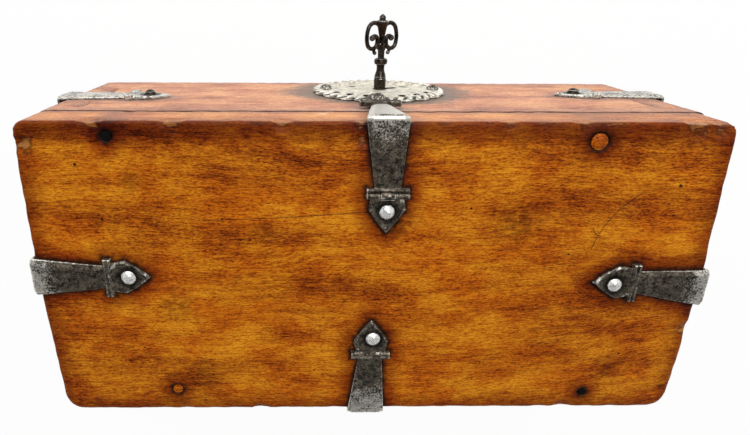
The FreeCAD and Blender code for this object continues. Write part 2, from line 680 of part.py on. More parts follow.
def hasp_staple():
    """U of square wire, its legs clenched in the hasp and its eye behind the lock plate."""
    half = STAPLE_WIDTH / 2
    outer = STAPLE_EYE / 2 + STAPLE_WIRE
    y1 = FRONT + STAPLE_DEPTH
    crown = block(HASP_X - half, HASP_X + half, y1 - STAPLE_WIRE, y1, STAPLE_Z - outer, STAPLE_Z + outer)
    staple = fused([crown] + staple_legs())
    round_edges = [e for e in staple.Edges if e.BoundBox.YMin > y1 - 1e-6
                   and e.BoundBox.XMax - e.BoundBox.XMin > 1]
    return staple.makeFillet(STAPLE_WIRE * 0.8, round_edges)


def hasp_stud():
    """Button for the finger, riveted through the hasp above the staple."""
    piece = rivet(STUD_HEAD, STUD_HEIGHT, STUD_SHANK, IRON)
    piece.translate(V(HASP_FALL + STUD_AT, 0, IRON))
    return placed(piece, HASP_DOWN)


def hasp():
    """From the middle knuckle over the lid's front edge, down to a collar and a narrow end."""
    reach = HASP_LEAF_AT + FRONT - HASP_INNER
    bar = collar_bar(reach - HASP_KNUCKLE - LEAF_GAP - COLLAR_BAR / 2, height=HASP_BAR_HEIGHT)
    bar.translate(V(0, HASP_SKEW, 0))
    over = fused([taper(0, reach, STRAP_WIDE, STRAP_NECK, HASP_SKEW), bar, bend(STRAP_WIDE)])
    down = fused([taper(0, HASP_FALL, STRAP_WIDE, HASP_NECK), spade(HASP_FALL, HASP_END)]
                 + collar_bars(HASP_FALL, HASP_COLLAR))
    body = fused([placed(over, HASP_OVER_LID), placed(down, HASP_DOWN)])
    edge = COLLAR_WIDTH * KNUCKLE_SHARE / 2
    rooms = [hasp_barrel_room(-COLLAR_WIDTH, -edge), hasp_barrel_room(edge, COLLAR_WIDTH)]
    bore = HASP_PIN + PIN_FIT
    middle, _ = knuckles(COLLAR_WIDTH, HASP_KNUCKLE, HASP_AXIS, bore)
    body = fused([body.cut(rooms), middle])
    stud_hole = rod(V(HASP_FALL + STUD_AT, 0, -1), V(HASP_FALL + STUD_AT, 0, 3 * IRON), STUD_SHANK + NAIL_FIT)
    return body.cut([rod(HASP_AXIS - X * COLLAR_WIDTH, HASP_AXIS + X * COLLAR_WIDTH, bore),
                     placed(stud_hole, HASP_DOWN)] + staple_legs())


def hasp_pin():
    half = COLLAR_WIDTH / 2 + HASP_PIN_PROUD
    return rod(HASP_AXIS - X * half, HASP_AXIS + X * half, HASP_PIN)


# ---- the lock ----
def plate_nail_spots():
    ring = PLATE_RADIUS - PLATE_NAIL_INSET
    side = math.sqrt(ring ** 2 - PLATE_NAIL_RISE ** 2)
    return [(PLATE_X + way * side, PLATE_Z + PLATE_NAIL_RISE) for way in (-1, 1)]


def on_plate(angle, radius, rise=0.0):
    """Point on the lock plate, its angle clockwise from the top as seen from the front."""
    a = math.radians(angle)
    return V(PLATE_X + radius * math.sin(a), FRONT - rise, PLATE_Z + radius * math.cos(a))


def plate_outline():
    """Rim of round lobes that meet in notches."""
    step = 360.0 / LOBES
    edges = []
    for k in range(LOBES):
        start, crown, end = (k - 0.5) * step, k * step, (k + 0.5) * step
        arc = Part.Arc(on_plate(start, PLATE_RADIUS - LOBE_NOTCH), on_plate(crown, PLATE_RADIUS),
                       on_plate(end, PLATE_RADIUS - LOBE_NOTCH))
        edges.append(arc.toShape())
    return Part.Face(Part.Wire(edges))


def plate_border():
    """The plate's beaten-up border, hollow behind, turned round the plate's axis."""
    foot, crest = PLATE_RADIUS - RIDGE_WIDTH, PLATE_RADIUS - RIDGE_INSET
    slope = (crest + PLATE_RADIUS) / 2
    inner = (foot + crest) / 2

    def arch(out):
        shape = ((foot, 0.0), (inner, RIDGE_FULL), (crest, 1.0), (slope, RIDGE_FULL), (PLATE_RADIUS, 0.0))
        return [on_plate(0, radius, out + RIDGE_HEIGHT * share) for radius, share in shape]

    low, high = arch(0.0), arch(PLATE_THICKNESS)
    edges = [Part.Arc(*low[:3]).toShape(), Part.Arc(*low[2:]).toShape(),
             Part.LineSegment(low[4], high[4]).toShape(),
             Part.Arc(*high[:1:-1]).toShape(), Part.Arc(*high[2::-1]).toShape(),
             Part.LineSegment(high[0], low[0]).toShape()]
    return Part.Face(Part.Wire(edges)).revolve(V(PLATE_X, FRONT, PLATE_Z), Y, 360)


def border_flutes():
    """Grooves that run out over the border, between the lobes."""
    flutes = []
    for k in range(LOBES):
        angle = (k + 0.5) * 360.0 / LOBES
        lift = PLATE_THICKNESS + FLUTE_RADIUS - FLUTE_DEPTH
        crest = on_plate(angle, PLATE_RADIUS - RIDGE_INSET, lift + RIDGE_HEIGHT)
        rim = on_plate(angle, PLATE_RADIUS, lift)
        flutes.append(rod(crest, rim + (rim - crest) * 0.1, FLUTE_RADIUS))
    return flutes


def hasp_room():
    """Space in front of the plate for the hasp's lower end."""
    face = spade_face(HASP_FALL, HASP_END).makeOffset2D(RIDGE_ROOM)
    face.translate(V(0, 0, -HASP_AIR - PLATE_THICKNESS))
    return placed(face.extrude(V(0, 0, PLATE_THICKNESS + RIDGE_HEIGHT + IRON)), HASP_DOWN)


def pierced_holes():
    """Centres of the holes of the border, apart from those beside the slot and the nails."""
    spots = []
    for k in range(1, LOBES):
        spot = on_plate(k * 360.0 / LOBES, PLATE_RADIUS - PIERCE_INSET)
        near = [math.hypot(spot.x - x, spot.z - z) for x, z in plate_nail_spots()]
        if min(near) > PLATE_NAIL_CLEAR:
            spots.append((spot.x, spot.z))
    return spots


def key_direction():
    """From the key's axis towards the bit at rest."""
    a = math.radians(KEY_REST)
    return V(-math.sin(a), 0, math.cos(a))


def key_slab(reach, thickness, y0, y1):
    """Flat slab from the key's axis towards the bit."""
    along = key_direction()
    across = Y.cross(along)
    base = V(KEY_X, y0, KEY_Z)
    half = thickness / 2
    points = [base - across * half, base + along * reach - across * half,
              base + along * reach + across * half, base + across * half]
    return closed_face(points).extrude(V(0, y1 - y0, 0))


def lock_plate():
    """Flat middle, raised and fluted border, lobed rim; flat where the hasp lies."""
    sheet = plate_outline().extrude(V(0, -PLATE_THICKNESS, 0))
    tall = plate_outline().extrude(V(0, -PLATE_THICKNESS - 2 * RIDGE_HEIGHT, 0))
    middle = rod(on_plate(0, 0), on_plate(0, 0, PLATE_THICKNESS), PLATE_RADIUS - RIDGE_WIDTH)
    border = plate_border().common(tall).cut(border_flutes())
    room = hasp_room()
    plate = fused([middle, border]).cut(room)
    plate = fused([plate, sheet.common(room)])
    y0, y1 = PLATE_FACE - 2 * RIDGE_HEIGHT, FRONT + PLATE_THICKNESS
    cuts = [rod(V(KEY_X, y0, KEY_Z), V(KEY_X, y1, KEY_Z), SHANK_RADIUS + KEYHOLE_ROOM / 2),
            key_slab(BIT_REACH + KEYHOLE_ROOM, BIT_THICKNESS + 2 * KEYHOLE_ROOM, y0, y1),
            block(HASP_X - slot_half(), HASP_X + slot_half(), y0, y1, staple_foot(),
                  PLATE_Z + PLATE_RADIUS + LOBE_NOTCH)]
    cuts += [rod(V(x, y0, z), V(x, y1, z), PIERCE_RADIUS) for x, z in pierced_holes()]
    cuts += [rod(V(x, y0, z), V(x, y1, z), RIVET_SHANK + NAIL_FIT) for x, z in plate_nail_spots()]
    cuts += [rod(V(x, y0, z), V(x, y1, z), PILLAR_RADIUS) for x, z in pillar_spots()]
    return plate.cut(cuts)


def plate_nails():
    """Round-headed nails that sit on the crest of the border."""
    nails = []
    seat = PLATE_THICKNESS + RIDGE_HEIGHT
    for x, z in plate_nail_spots():
        piece = rivet(RIVET_HEAD, RIVET_HEIGHT, RIVET_SHANK, RIVET_LENGTH + seat)
        nails.append(placed(piece, frame_at(V(x, FRONT - seat, z), X, Z, -Y)))
    return nails


def case_sides():
    """Left, right, lower and upper edge of the lock's back plate."""
    return (PLATE_X - MORTISE_LEFT + CASE_ROOM, PLATE_X + MORTISE_RIGHT - CASE_ROOM,
            PLATE_Z - MORTISE_DOWN + CASE_ROOM, PLATE_Z + MORTISE_UP - CASE_ROOM)


def pillar_spots():
    left, right, low, high = case_sides()
    return [(x, z) for x in (left + PILLAR_INSET, right - PILLAR_INSET)
            for z in (low + PILLAR_INSET, high - PILLAR_INSET)]


def lock_pillars():
    """Four pillars riveted through both plates."""
    return [rod(V(x, PLATE_FACE, z), V(x, FRONT + CASE_DEPTH + CASE_THICKNESS, z), PILLAR_RADIUS)
            for x, z in pillar_spots()]


def lock_back_plate():
    left, right, low, high = case_sides()
    y0 = FRONT + CASE_DEPTH
    plate = block(left, right, y0, y0 + CASE_THICKNESS, low, high).common(under_plate(CASE_ROOM))
    cuts = [rod(V(x, y0 - 1, z), V(x, y0 + 2 * CASE_THICKNESS, z), PILLAR_RADIUS)
            for x, z in pillar_spots()]
    cuts.append(rod(V(KEY_X, y0 - 1, KEY_Z), V(KEY_X, y0 + 2 * CASE_THICKNESS, KEY_Z), DRILL_PIN + PIN_FIT))
    return plate.cut(cuts)


def lock_ward():
    """Ring on the back plate that the bit's slot passes round."""
    y1 = FRONT + CASE_DEPTH
    y0 = y1 - WARD_HEIGHT
    outer = rod(V(KEY_X, y0, KEY_Z), V(KEY_X, y1, KEY_Z), WARD_RADIUS + WARD_THICKNESS / 2)
    return outer.cut(rod(V(KEY_X, y0 - 1, KEY_Z), V(KEY_X, y1 + 1, KEY_Z), WARD_RADIUS - WARD_THICKNESS / 2))


def drill_pin():
    """Post that the piped key turns on, with a shoulder at its foot."""
    tip = V(KEY_X, FRONT - DRILL_PIN_OUT, KEY_Z)
    foot = V(KEY_X, FRONT + CASE_DEPTH + CASE_THICKNESS, KEY_Z)
    shoulder = rod(V(KEY_X, FRONT + SHANK_END + DRILL_PLAY, KEY_Z),
                   V(KEY_X, FRONT + CASE_DEPTH - DRILL_PLAY, KEY_Z), DRILL_PIN + DRILL_SHOULDER)
    return fused([rod(tip, foot, DRILL_PIN), shoulder, Part.makeSphere(DRILL_PIN, tip)])


def lock_bolt():
    """Bar with the talon that the key moves, and an arm whose finger goes through the staple."""
    y0, y1 = BOLT_FRONT, BOLT_FRONT + BOLT_THICKNESS
    bar = block(KEY_X - BOLT_LEFT, KEY_X + BOLT_RIGHT, y0, y1, BAR_LOW, BAR_TOP)
    left = arm_left()
    arm = block(left, left + ARM_WIDTH, y0, y1, BAR_TOP - 1, STAPLE_Z + FINGER_HEIGHT / 2)
    finger = block(left, finger_tip(), y0, y1,
                   STAPLE_Z - FINGER_HEIGHT / 2, STAPLE_Z + FINGER_HEIGHT / 2)
    talon = block(KEY_X - TALON_LEFT, KEY_X + TALON_RIGHT, y0 - 1, y1 + 1, BAR_LOW - 1,
                  BAR_LOW + TALON_DEPTH)
    return fused([bar, arm, finger]).cut(talon)


def bolt_guides():
    """Two bridges on the lock plate that the bar slides through."""
    guides = []
    for left in (KEY_X + LEFT_GUIDE, KEY_X + RIGHT_GUIDE):
        depth = BOLT_DEPTH + BOLT_THICKNESS + GUIDE_ROOM + GUIDE_WALL
        bridge = block(left, left + GUIDE_WIDTH, FRONT, FRONT + depth, BAR_LOW - GUIDE_WALL - GUIDE_ROOM,
                       BAR_TOP + GUIDE_WALL + GUIDE_ROOM)
        way = block(left - 1, left + GUIDE_WIDTH + 1, FRONT - 1,
                    FRONT + BOLT_DEPTH + BOLT_THICKNESS + GUIDE_ROOM,
                    BAR_LOW - GUIDE_ROOM, BAR_TOP + GUIDE_ROOM)
        guides.append(bridge.cut(way))
    return guides


def bolt_spring():
    """Bowed leaf above the bar, its foot on the lock plate, that keeps the bolt from rattling."""
    right = KEY_X + LEFT_GUIDE - SPRING_ROOM
    low_point = V(right - SPRING_HALF, BOLT_FRONT, BAR_TOP + SPRING_ROOM)
    low = [low_point + V(-SPRING_HALF, 0, SPRING_RISE), low_point, low_point + V(SPRING_HALF, 0, SPRING_RISE)]
    high = [p + V(0, 0, SPRING_THICKNESS) for p in low]
    edges = [Part.Arc(*low).toShape(), Part.LineSegment(low[2], high[2]).toShape(),
             Part.Arc(high[2], high[1], high[0]).toShape(), Part.LineSegment(high[0], low[0]).toShape()]
    leaf = Part.Face(Part.Wire(edges)).extrude(V(0, BOLT_THICKNESS, 0))
    foot = block(low[0].x, low[0].x + SPRING_FOOT, FRONT, BOLT_FRONT + BOLT_THICKNESS, low[0].z,
                 high[0].z + SPRING_FOOT)
    return fused([leaf, foot])


# ---- the key ----
def bow_point(w, h):
    """Point in the bow's plane: w across from the axis, h out from the front board."""
    return V(KEY_X, FRONT - h, KEY_Z) - key_direction() * w


def bent_path(start, heading, bends, turns):
    """Arcs that follow on from each other, each as three points across and out in the bow's plane.

    Each bend is a radius, and each turn the degrees that it bends to the right.
    """
    w, h = start
    arcs = []
    for radius, sweep in zip(bends, turns):
        normal = math.radians(heading - 90)
        centre = (w + radius * math.cos(normal), h + radius * math.sin(normal))
        spots = []
        for part in (0.0, 0.5, 1.0):
            a = math.radians(heading + 90 - part * sweep)
            spots.append((centre[0] + radius * math.cos(a), centre[1] + radius * math.sin(a)))
        arcs.append(spots)
        w, h = spots[2]
        heading -= sweep
    return arcs


def scroll(side, start, arcs, bar, ball):
    """Round bar bent through tangent arcs, with a ball at its end."""
    edges = [Part.Arc(*[bow_point(side * w, h) for w, h in arc]).toShape() for arc in arcs]
    first = edges[0]
    foot = bow_point(side * start[0], start[1])
    section = Part.Wire([Part.Circle(foot, first.tangentAt(first.FirstParameter), bar).toShape()])
    tube = Part.Wire(edges).makePipeShell([section], True, True)
    end_w, end_h = arcs[-1][2]
    return [tube, Part.makeSphere(ball, bow_point(side * end_w, end_h)), Part.makeSphere(bar, foot)]


def turned(profile):
    """Revolve a half profile about the key's axis."""
    along = key_direction()
    points = [V(KEY_X, FRONT - h, KEY_Z) + along * r for r, h in profile]
    return closed_face(points).revolve(V(KEY_X, FRONT, KEY_Z), Y, 360)


def key_shank():
    return turned(NECK + ((SHANK_RADIUS, NECK_FOOT), (SHANK_RADIUS, -SHANK_END), (0.0, -SHANK_END)))


def key_bit():
    """Web of the key, slotted for the ring ward."""
    y0, y1 = FRONT + BIT_FRONT, FRONT + BIT_BACK
    web = key_slab(BIT_REACH, BIT_THICKNESS, y0, y1)
    round_end = rod(V(KEY_X, y0, KEY_Z), V(KEY_X, y1, KEY_Z), BIT_REACH)
    inner = WARD_RADIUS - WARD_THICKNESS / 2 - WARD_ROOM
    outer = WARD_RADIUS + WARD_THICKNESS / 2 + WARD_ROOM
    start = FRONT + CASE_DEPTH - WARD_HEIGHT - WARD_ROOM
    ring = rod(V(KEY_X, start, KEY_Z), V(KEY_X, y1 + 1, KEY_Z), outer)
    ring = ring.cut(rod(V(KEY_X, start, KEY_Z), V(KEY_X, y1 + 1, KEY_Z), inner))
    return web.common(round_end).cut(ring)


def key():
    pieces = [key_shank(), key_bit(), turned(FINIAL)]
    big = bent_path(SCROLL_START, SCROLL_HEADING, SCROLL_BENDS, SCROLL_TURNS)
    small = bent_path(CURL_START, CURL_HEADING, CURL_BENDS, CURL_TURNS)
    for side in (-1, 1):
        pieces += scroll(side, SCROLL_START, big, BOW_BAR, BOW_BALL)
        pieces += scroll(side, CURL_START, small, CURL_BAR, CURL_BALL)
        foot = bow_point(side * STRAND_FOOT[0], STRAND_FOOT[1])
        head = bow_point(side * STRAND_HEAD[0], STRAND_HEAD[1])
        pieces.append(rod(foot, head, STRAND_BAR))
    whole = pieces[0].multiFuse(pieces[1:])
    pipe = rod(V(KEY_X, FRONT - PIPE_START, KEY_Z), V(KEY_X, FRONT + SHANK_END + 1, KEY_Z), PIPE_RADIUS)
    return whole.cut(pipe)


# ---- put it together ----
def build():
    nodes = {
        "front_board": front_board(),
        "back_board": back_board(),
        "left_end_board": end_board(-1),
        "right_end_board": end_board(1),
        "bottom_board": bottom_block().cut(bottom_nail_holes()),
        "bottom_nails": bottom_nails(),
        "lid_board": lid_board(),
        "lid_pegs": [peg(*spot) for spot in PEG_SPOTS],
        "lid_nail_stubs": [peg(*spot) for spot in STUB_SPOTS],
        "lid_strap_left": lid_strap(LEFT_ON_LID, LEFT_DOWN, LEFT_SKEW, LEFT_RIVET_ASIDE),
        "lid_strap_right": lid_strap(RIGHT_ON_LID, RIGHT_DOWN, RIGHT_SKEW),
        "lid_strap_rivets": [rivet_at(*LID_RIVETS["left"]), rivet_at(*LID_RIVETS["right"])],
        "strap_bosses": [rivet_at(place, FALL_LEG + RIVET_AT, length=0.0)
                         for place in (LEFT_DOWN, RIGHT_DOWN)],
        "hinge_upper_leaf": hinge_upper_leaf(),
        "hinge_lower_leaf": hinge_lower_leaf(),
        "hinge_pin": hinge_pin(),
        "hinge_upper_rivet": rivet_at(*LID_RIVETS["hinge"]),
        "hinge_lower_rivet": rivet_at(HINGE_DOWN, FALL_LEG + RIVET_AT),
        "hasp_leaf": hasp_leaf(),
        "hasp_leaf_rivet": rivet_at(*LID_RIVETS["hasp"]),
        "hasp_pin": hasp_pin(),
        "hasp": hasp(),
        "hasp_staple": hasp_staple(),
        "hasp_stud": hasp_stud(),
        "lock_plate": lock_plate(),
        "plate_nails": plate_nails(),
        "lock_back_plate": lock_back_plate(),
        "lock_pillars": lock_pillars(),
        "lock_ward": lock_ward(),
        "lock_bolt": lock_bolt(),
        "bolt_guides": bolt_guides(),
        "bolt_spring": bolt_spring(),
        "drill_pin": drill_pin(),
        "key": key(),
    }
    for name, frames in CORNERS.items():
        nodes["corner_strap_" + name] = corner_strap(frames)
        nodes["corner_rivets_" + name] = [rivet_at(frame, CORNER_LEG + RIVET_AT) for frame in frames]
    return nodes


def main():
    os.makedirs("parts", exist_ok=True)
    for name, shape in build().items():
        if isinstance(shape, list):
            shape = Part.makeCompound(shape)
        solids = shape.Solids
        good = all(s.isValid() for s in solids) and len(solids) > 0
        print("%-28s %d solid(s) %10.1f mm3 valid %s" % (name, len(solids), shape.Volume, good))
        if len(solids) == 1:
            shape = solids[0]
        shape.exportStep(os.path.join("parts", name + ".step"))


if __name__ == "__main__":
    main()
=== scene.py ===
import functools
import json
import math

import bmesh
import bpy
import numpy as np
from bpy.props import FloatProperty, FloatVectorProperty, IntProperty, PointerProperty
from mathutils import Matrix, Vector, noise
from mathutils.bvhtree import BVHTree
from mathutils.kdtree import KDTree

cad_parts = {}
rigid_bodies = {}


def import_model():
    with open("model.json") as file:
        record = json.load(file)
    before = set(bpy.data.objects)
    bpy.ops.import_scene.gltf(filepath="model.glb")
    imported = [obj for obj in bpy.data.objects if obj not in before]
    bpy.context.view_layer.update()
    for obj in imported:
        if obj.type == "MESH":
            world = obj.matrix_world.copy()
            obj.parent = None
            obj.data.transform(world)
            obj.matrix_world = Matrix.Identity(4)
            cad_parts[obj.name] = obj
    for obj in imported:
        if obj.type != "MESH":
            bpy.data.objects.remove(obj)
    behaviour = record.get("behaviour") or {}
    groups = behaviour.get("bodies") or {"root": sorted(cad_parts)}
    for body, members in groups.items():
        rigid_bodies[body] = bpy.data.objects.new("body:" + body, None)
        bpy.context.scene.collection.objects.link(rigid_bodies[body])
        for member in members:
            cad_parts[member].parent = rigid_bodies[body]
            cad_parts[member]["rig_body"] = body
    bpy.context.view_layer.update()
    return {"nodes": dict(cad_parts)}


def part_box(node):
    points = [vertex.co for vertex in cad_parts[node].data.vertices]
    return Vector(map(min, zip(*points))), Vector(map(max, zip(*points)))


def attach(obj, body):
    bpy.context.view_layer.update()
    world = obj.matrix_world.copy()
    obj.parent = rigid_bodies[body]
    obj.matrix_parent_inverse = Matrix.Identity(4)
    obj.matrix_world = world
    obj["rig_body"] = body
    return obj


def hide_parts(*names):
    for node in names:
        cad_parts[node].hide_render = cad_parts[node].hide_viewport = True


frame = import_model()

bl_info = {
    "name": "Strapped coffer",
    "version": (1, 0, 0),
    "blender": (4, 5, 0),
    "location": "3D View > Sidebar > Coffer",
    "description": "Dresses a small dovetailed coffer with worn wood and forged iron",
    "category": "Object",
}

# Metres, Z up. The lock side faces -Y.
MM = 0.001

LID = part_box("lid_board")
FRONT = LID[0].y
TOP = LID[1].z
SEAM = LID[0].z
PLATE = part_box("lock_plate")
PLATE_MIDDLE = (PLATE[0] + PLATE[1]) / 2
PLATE_RADIUS = (PLATE[1].x - PLATE[0].x) / 2
PETAL_RING = PLATE_RADIUS - 3.1 * MM
PETAL_SLANT = math.radians(38)

STRAP_NODES = [
    "lid_strap_left", "lid_strap_right", "hinge_upper_leaf", "hinge_lower_leaf", "corner_strap_front_left",
    "corner_strap_front_right", "corner_strap_back_left", "corner_strap_back_right",
]
HASP_NODES = ["hasp", "hasp_leaf"]
IRON_NODES = STRAP_NODES + HASP_NODES + ["lock_plate"]
RIVET_NODES = [
    "lid_strap_rivets", "strap_bosses", "hinge_upper_rivet", "hinge_lower_rivet", "hasp_leaf_rivet",
    "corner_rivets_front_left", "corner_rivets_front_right", "corner_rivets_back_left",
    "corner_rivets_back_right",
]
PEG_NODES = ["lid_pegs", "lid_nail_stubs"]
WORKS_NODES = [
    "lock_back_plate", "lock_pillars", "lock_ward", "lock_bolt", "bolt_guides", "bolt_spring", "drill_pin",
]
# each wall and the axis that its grain runs along
WALLS = (("front_board", 0), ("back_board", 0), ("left_end_board", 1), ("right_end_board", 1))
# rivets with tall heads on the lock side, and the straps that they hold
TALL_RIVETS = {"corner_rivets_front_left": "corner_strap_front_left",
               "corner_rivets_front_right": "corner_strap_front_right"}
HEAD_GROWTH = (1.4, 2.6, 1.4)

# grids of the small iron pieces' surfaces
RIVET_MESH = 0.3 * MM
PLATE_MESH = 0.42 * MM
KEY_MESH = 0.27 * MM
# how far wear, stains, soot, painted shade and painted light reach
EDGE_WIDTH = 2.6 * MM
RIM_WIDTH = 11 * MM
STAIN_AND_SHADE_REACH = 12 * MM
AROUND_RIVET_REACH = 9 * MM
HAND_REACH = 13 * MM
HINGE_HAND_REACH = 22 * MM
HASP_REACH = 20 * MM
HASP_BEND = 3 * MM

# chips in the lid's edges: place, radius and depth in millimetres
LID_CHIPS = [
    ((44.5, -81, 129), 5, 1.3), ((-150, -81, 129), 8, 1.5), ((-161, -79.5, 129), 6, 1.6),
    ((-153, -76, 129.2), 2.6, 1), ((8, -72.5, 129.4), 3.2, 1.3), ((9, -80, 129), 4, 0.9),
    ((-12, -81, 129), 4, 0.9), ((96, -81, 129), 6, 1), ((133, -81, 129), 6, 1.2),
    ((-95, -81.2, 129), 5, 0.9), ((-60, -81.2, 129), 4, 0.8), ((165, -70, 129), 6, 1.3),
    ((-168, 30, 129), 5, 0.9), ((60, 81, 129), 4, 0.8), ((-110, 81, 129), 5, 0.9),
]
# how much narrower the lid's two ends are worn: places from front to back, and millimetres
LID_ENDS = {
    1: ((-81, -45, -10, 12, 40, 81), (1.0, 0.5, 0.3, 0.3, 1.4, 2.9)),
    -1: ((-81, -50, -22, -10, 14, 50, 81), (3.2, 2.2, 1.4, 0.6, 0.5, 1.2, 2.5)),
}
# rounded edges of the lid made crisper: the two axes, the radius in millimetres and how square
LID_CRISP = [([0, 1], 11.0, 4.0), ([1, 2], 2.2, 3.5), ([0, 2], 2.2, 3.0)]
# hairline cracks in the lid's top: start, end and how far the middle bends aside, in millimetres
LID_CRACKS = [
    ((-128.5, -47.0), (-108.6, -16.5), -3.6), ((84.8, -32.6), (4.7, -36.9), -0.7),
    ((-112.0, -24.0), (-107.5, -28.5), 0.8),
]
# old nail and worm holes in the lid's top: place and radius in millimetres
LID_HOLES = [
    ((-145.8, -50.4), 0.85), ((-46.0, -38.8), 0.6), ((142.1, -60.5), 0.75), ((-97.7, -14.2), 0.55),
    ((-146.0, -35.1), 0.6), ((75.0, -33.0), 0.5), ((66.5, -22.0), 0.5), ((62.0, -22.0), 0.5),
    ((-20.0, 22.0), 0.5), ((133.0, -33.0), 0.7), ((120.0, 40.0), 0.5), ((-60.0, 50.0), 0.5),
    ((-135.0, 45.0), 0.6), ((30.0, 55.0), 0.45),
]
# pale slivers on the lid's front edge: place across and up, and half length, in millimetres
LID_SLIVERS = [((26.4, 110.2), 2.8), ((-163.0, 110.0), 2.6)]
# dark smudges on the lid's top: place and radius in millimetres
LID_SMUDGES = [
    ((117.7, -52.1), 4.0), ((135.7, -32.5), 3.0), ((100.5, 14.9), 7.0), ((54.4, -26.5), 4.5),
    ((-70.0, -30.0), 9.0), ((-10.0, -30.0), 6.0), ((90.0, 60.0), 8.0), ((-130.0, 55.0), 7.0),
]
# streaks of the wood's grain: length and width in millimetres
BROAD_STREAK = (110.0, 22.0)
YEAR_BAND = (38.0, 2.4)
FIBRE = (8.0, 0.62)
FLECK = (1.7, 0.55)
PORE = (2.6, 0.42)

# tints that darken what they multiply
RED_TINT = (1.0, 0.66, 0.45)
FLECK_TINT = (0.56, 0.38, 0.28)
# iron stain on the wood beside the ironwork, with painted shade
STAIN_AND_SHADE_TINT = (0.50, 0.32, 0.26)
RIM_TINT = (0.42, 0.26, 0.20)
HANDLED_TINT = (0.46, 0.28, 0.17)
SMUDGE_TINT = (0.30, 0.25, 0.22)
# painted shadow in the joint between the lid and the walls
SEAM_SHADOW_TINT = (0.10, 0.06, 0.05)
BLACKING_TINT = (0.10, 0.072, 0.052)
# the darkest colours
# near-black for the lid's cracks and holes: painted shade inside them
CRACK_BLACK = (0.008, 0.004, 0.002)
PIT_BLACK = (0.012, 0.010, 0.008)
# black for sooty iron and for painted shade in its hollows, holes and grooves
SOOT_AND_SHADE_BLACK = (0.004, 0.003, 0.003)
STUB_BLACK = (0.003, 0.003, 0.003)

# the lamps: place, what they point at, width and height
KEY_LIGHT = ((0.15, -1.15, 0.55), (0, -0.05, 0.08), 1.1, 0.8)
TOP_LIGHT = ((-0.25, -0.75, 1.25), (0, 0, 0.12), 1.0, 0.7)
WHITE = (1.0, 1.0, 1.0, 1.0)
FLOOR_REACH = 6.0
FLOOR_GLOW = 0.94
# how high the ceiling that polish mirrors starts and ends, as the sine of its height
CEILING_RISE = (0.10, 0.62)
# the camera's turn about X, Y and Z, its place in the coffer's frame and its lens shift
CAMERA_TURN = (math.radians(21.3074), math.radians(0.9123), math.radians(-0.3454))
CAMERA_PLACE = Vector((33.36, -133.23, 384.49)) * MM
CAMERA_SHIFT = (0.0785, 0.0013)
SENSOR_WIDTH = 36.0


# ---- sizes and colours that a user would change ----
def colour(name, description, default):
    return FloatVectorProperty(name=name, description=description, subtype="COLOR", size=3,
                               min=0.0, max=1.0, default=default)


class CofferWood(bpy.types.PropertyGroup):
    """Colours and wear of the boards"""
    gold: colour("Gold", "Lightest streaks of the wood", (0.76, 0.30, 0.012))
    honey: colour("Honey", "Polished wood", (0.49, 0.138, 0.004))
    amber: colour("Amber", "Darker grain", (0.235, 0.046, 0.002))
    umber: colour("Umber", "Late wood, cracks and grime", (0.035, 0.009, 0.002))
    # the next colour paints the black line along the ironwork on the wood: painted shadow
    soot: colour("Soot", "Black dirt along the ironwork", (0.012, 0.005, 0.003))
    bare: colour("Bare wood", "Wood where the polish is worn off", (0.50, 0.22, 0.060))
    stain: colour("Iron stain", "Grey stain in the wood round the lock plate", (0.15, 0.125, 0.10))
    # the next two colours are painted sheen: a pale wash for the light that glances off the lid's edges
    # and the upright sides
    edge_sheen: colour("Edge dust", "Pale bloom on the lid's edges", (0.92, 0.55, 0.34))
    sheen: colour("Dust", "Pale bloom on the upright sides", (0.89, 0.65, 0.53))
    wear: FloatProperty(name="Edge wear", description="How deep the edges are worn", unit="LENGTH",
                        default=0.5 * MM, min=0.0, max=4 * MM)
    mesh: FloatProperty(name="Mesh size", description="Grid of the boards' worn surface", unit="LENGTH",
                        default=1.25 * MM, min=0.8 * MM, max=6 * MM)
    seed: IntProperty(name="Seed", description="Start of the random wear", default=7)


class CofferIron(bpy.types.PropertyGroup):
    """Colours and surface of the ironwork"""
    scale: colour("Scale", "Dark skin of the iron", (0.076, 0.063, 0.048))
    # steel is also the colour of the painted highlights and painted light on the iron
    steel: colour("Steel", "Iron where it is worn bright", (0.72, 0.69, 0.62))
    olive: colour("Olive bloom", "Grey-olive mottling on the scale", (0.25, 0.220, 0.165))
    rust: colour("Rust", "Brown bloom on the iron", (0.105, 0.070, 0.038))
    tin: colour("Tin", "Pale skin of the lock plate", (0.86, 0.81, 0.69))
    rivet: colour("Rivet", "Burnished rivet heads", (0.86, 0.86, 0.84))
    forging: FloatProperty(name="Forging marks", description="Depth of the hammer's marks", unit="LENGTH",
                           default=0.16 * MM, min=0.0, max=1 * MM)
    mesh: FloatProperty(name="Mesh size", description="Grid of the iron's forged surface", unit="LENGTH",
                        default=0.36 * MM, min=0.25 * MM, max=2 * MM)
    petals: IntProperty(name="Petals", description="Raised petals round the lock plate", default=40,
                        min=8, max=120)


class CofferStage(bpy.types.PropertyGroup):
    """Floor, light and camera"""
    floor: colour("Floor", "Floor and background", (0.92, 0.92, 0.92))
    key_light: FloatProperty(name="Key light", description="Power of the lamp on the lock side",
                             unit="POWER", default=10.0, min=0.0)
    top_light: FloatProperty(name="Top light", description="Power of the lamp over the lid",
                             unit="POWER", default=9.5, min=0.0)
    sky: FloatProperty(name="Sky", description="Strength of the light from all round",
                       default=0.36, min=0.0)
    ceiling: FloatProperty(name="Ceiling", description="How bright polish mirrors what is overhead",
                           default=0.04, min=0.0)
    focal: FloatProperty(name="Focal length", description="Camera's lens in millimetres", default=27.04,
                         min=10.0, max=200.0)


def settings(group):
    return getattr(bpy.context.scene, group)


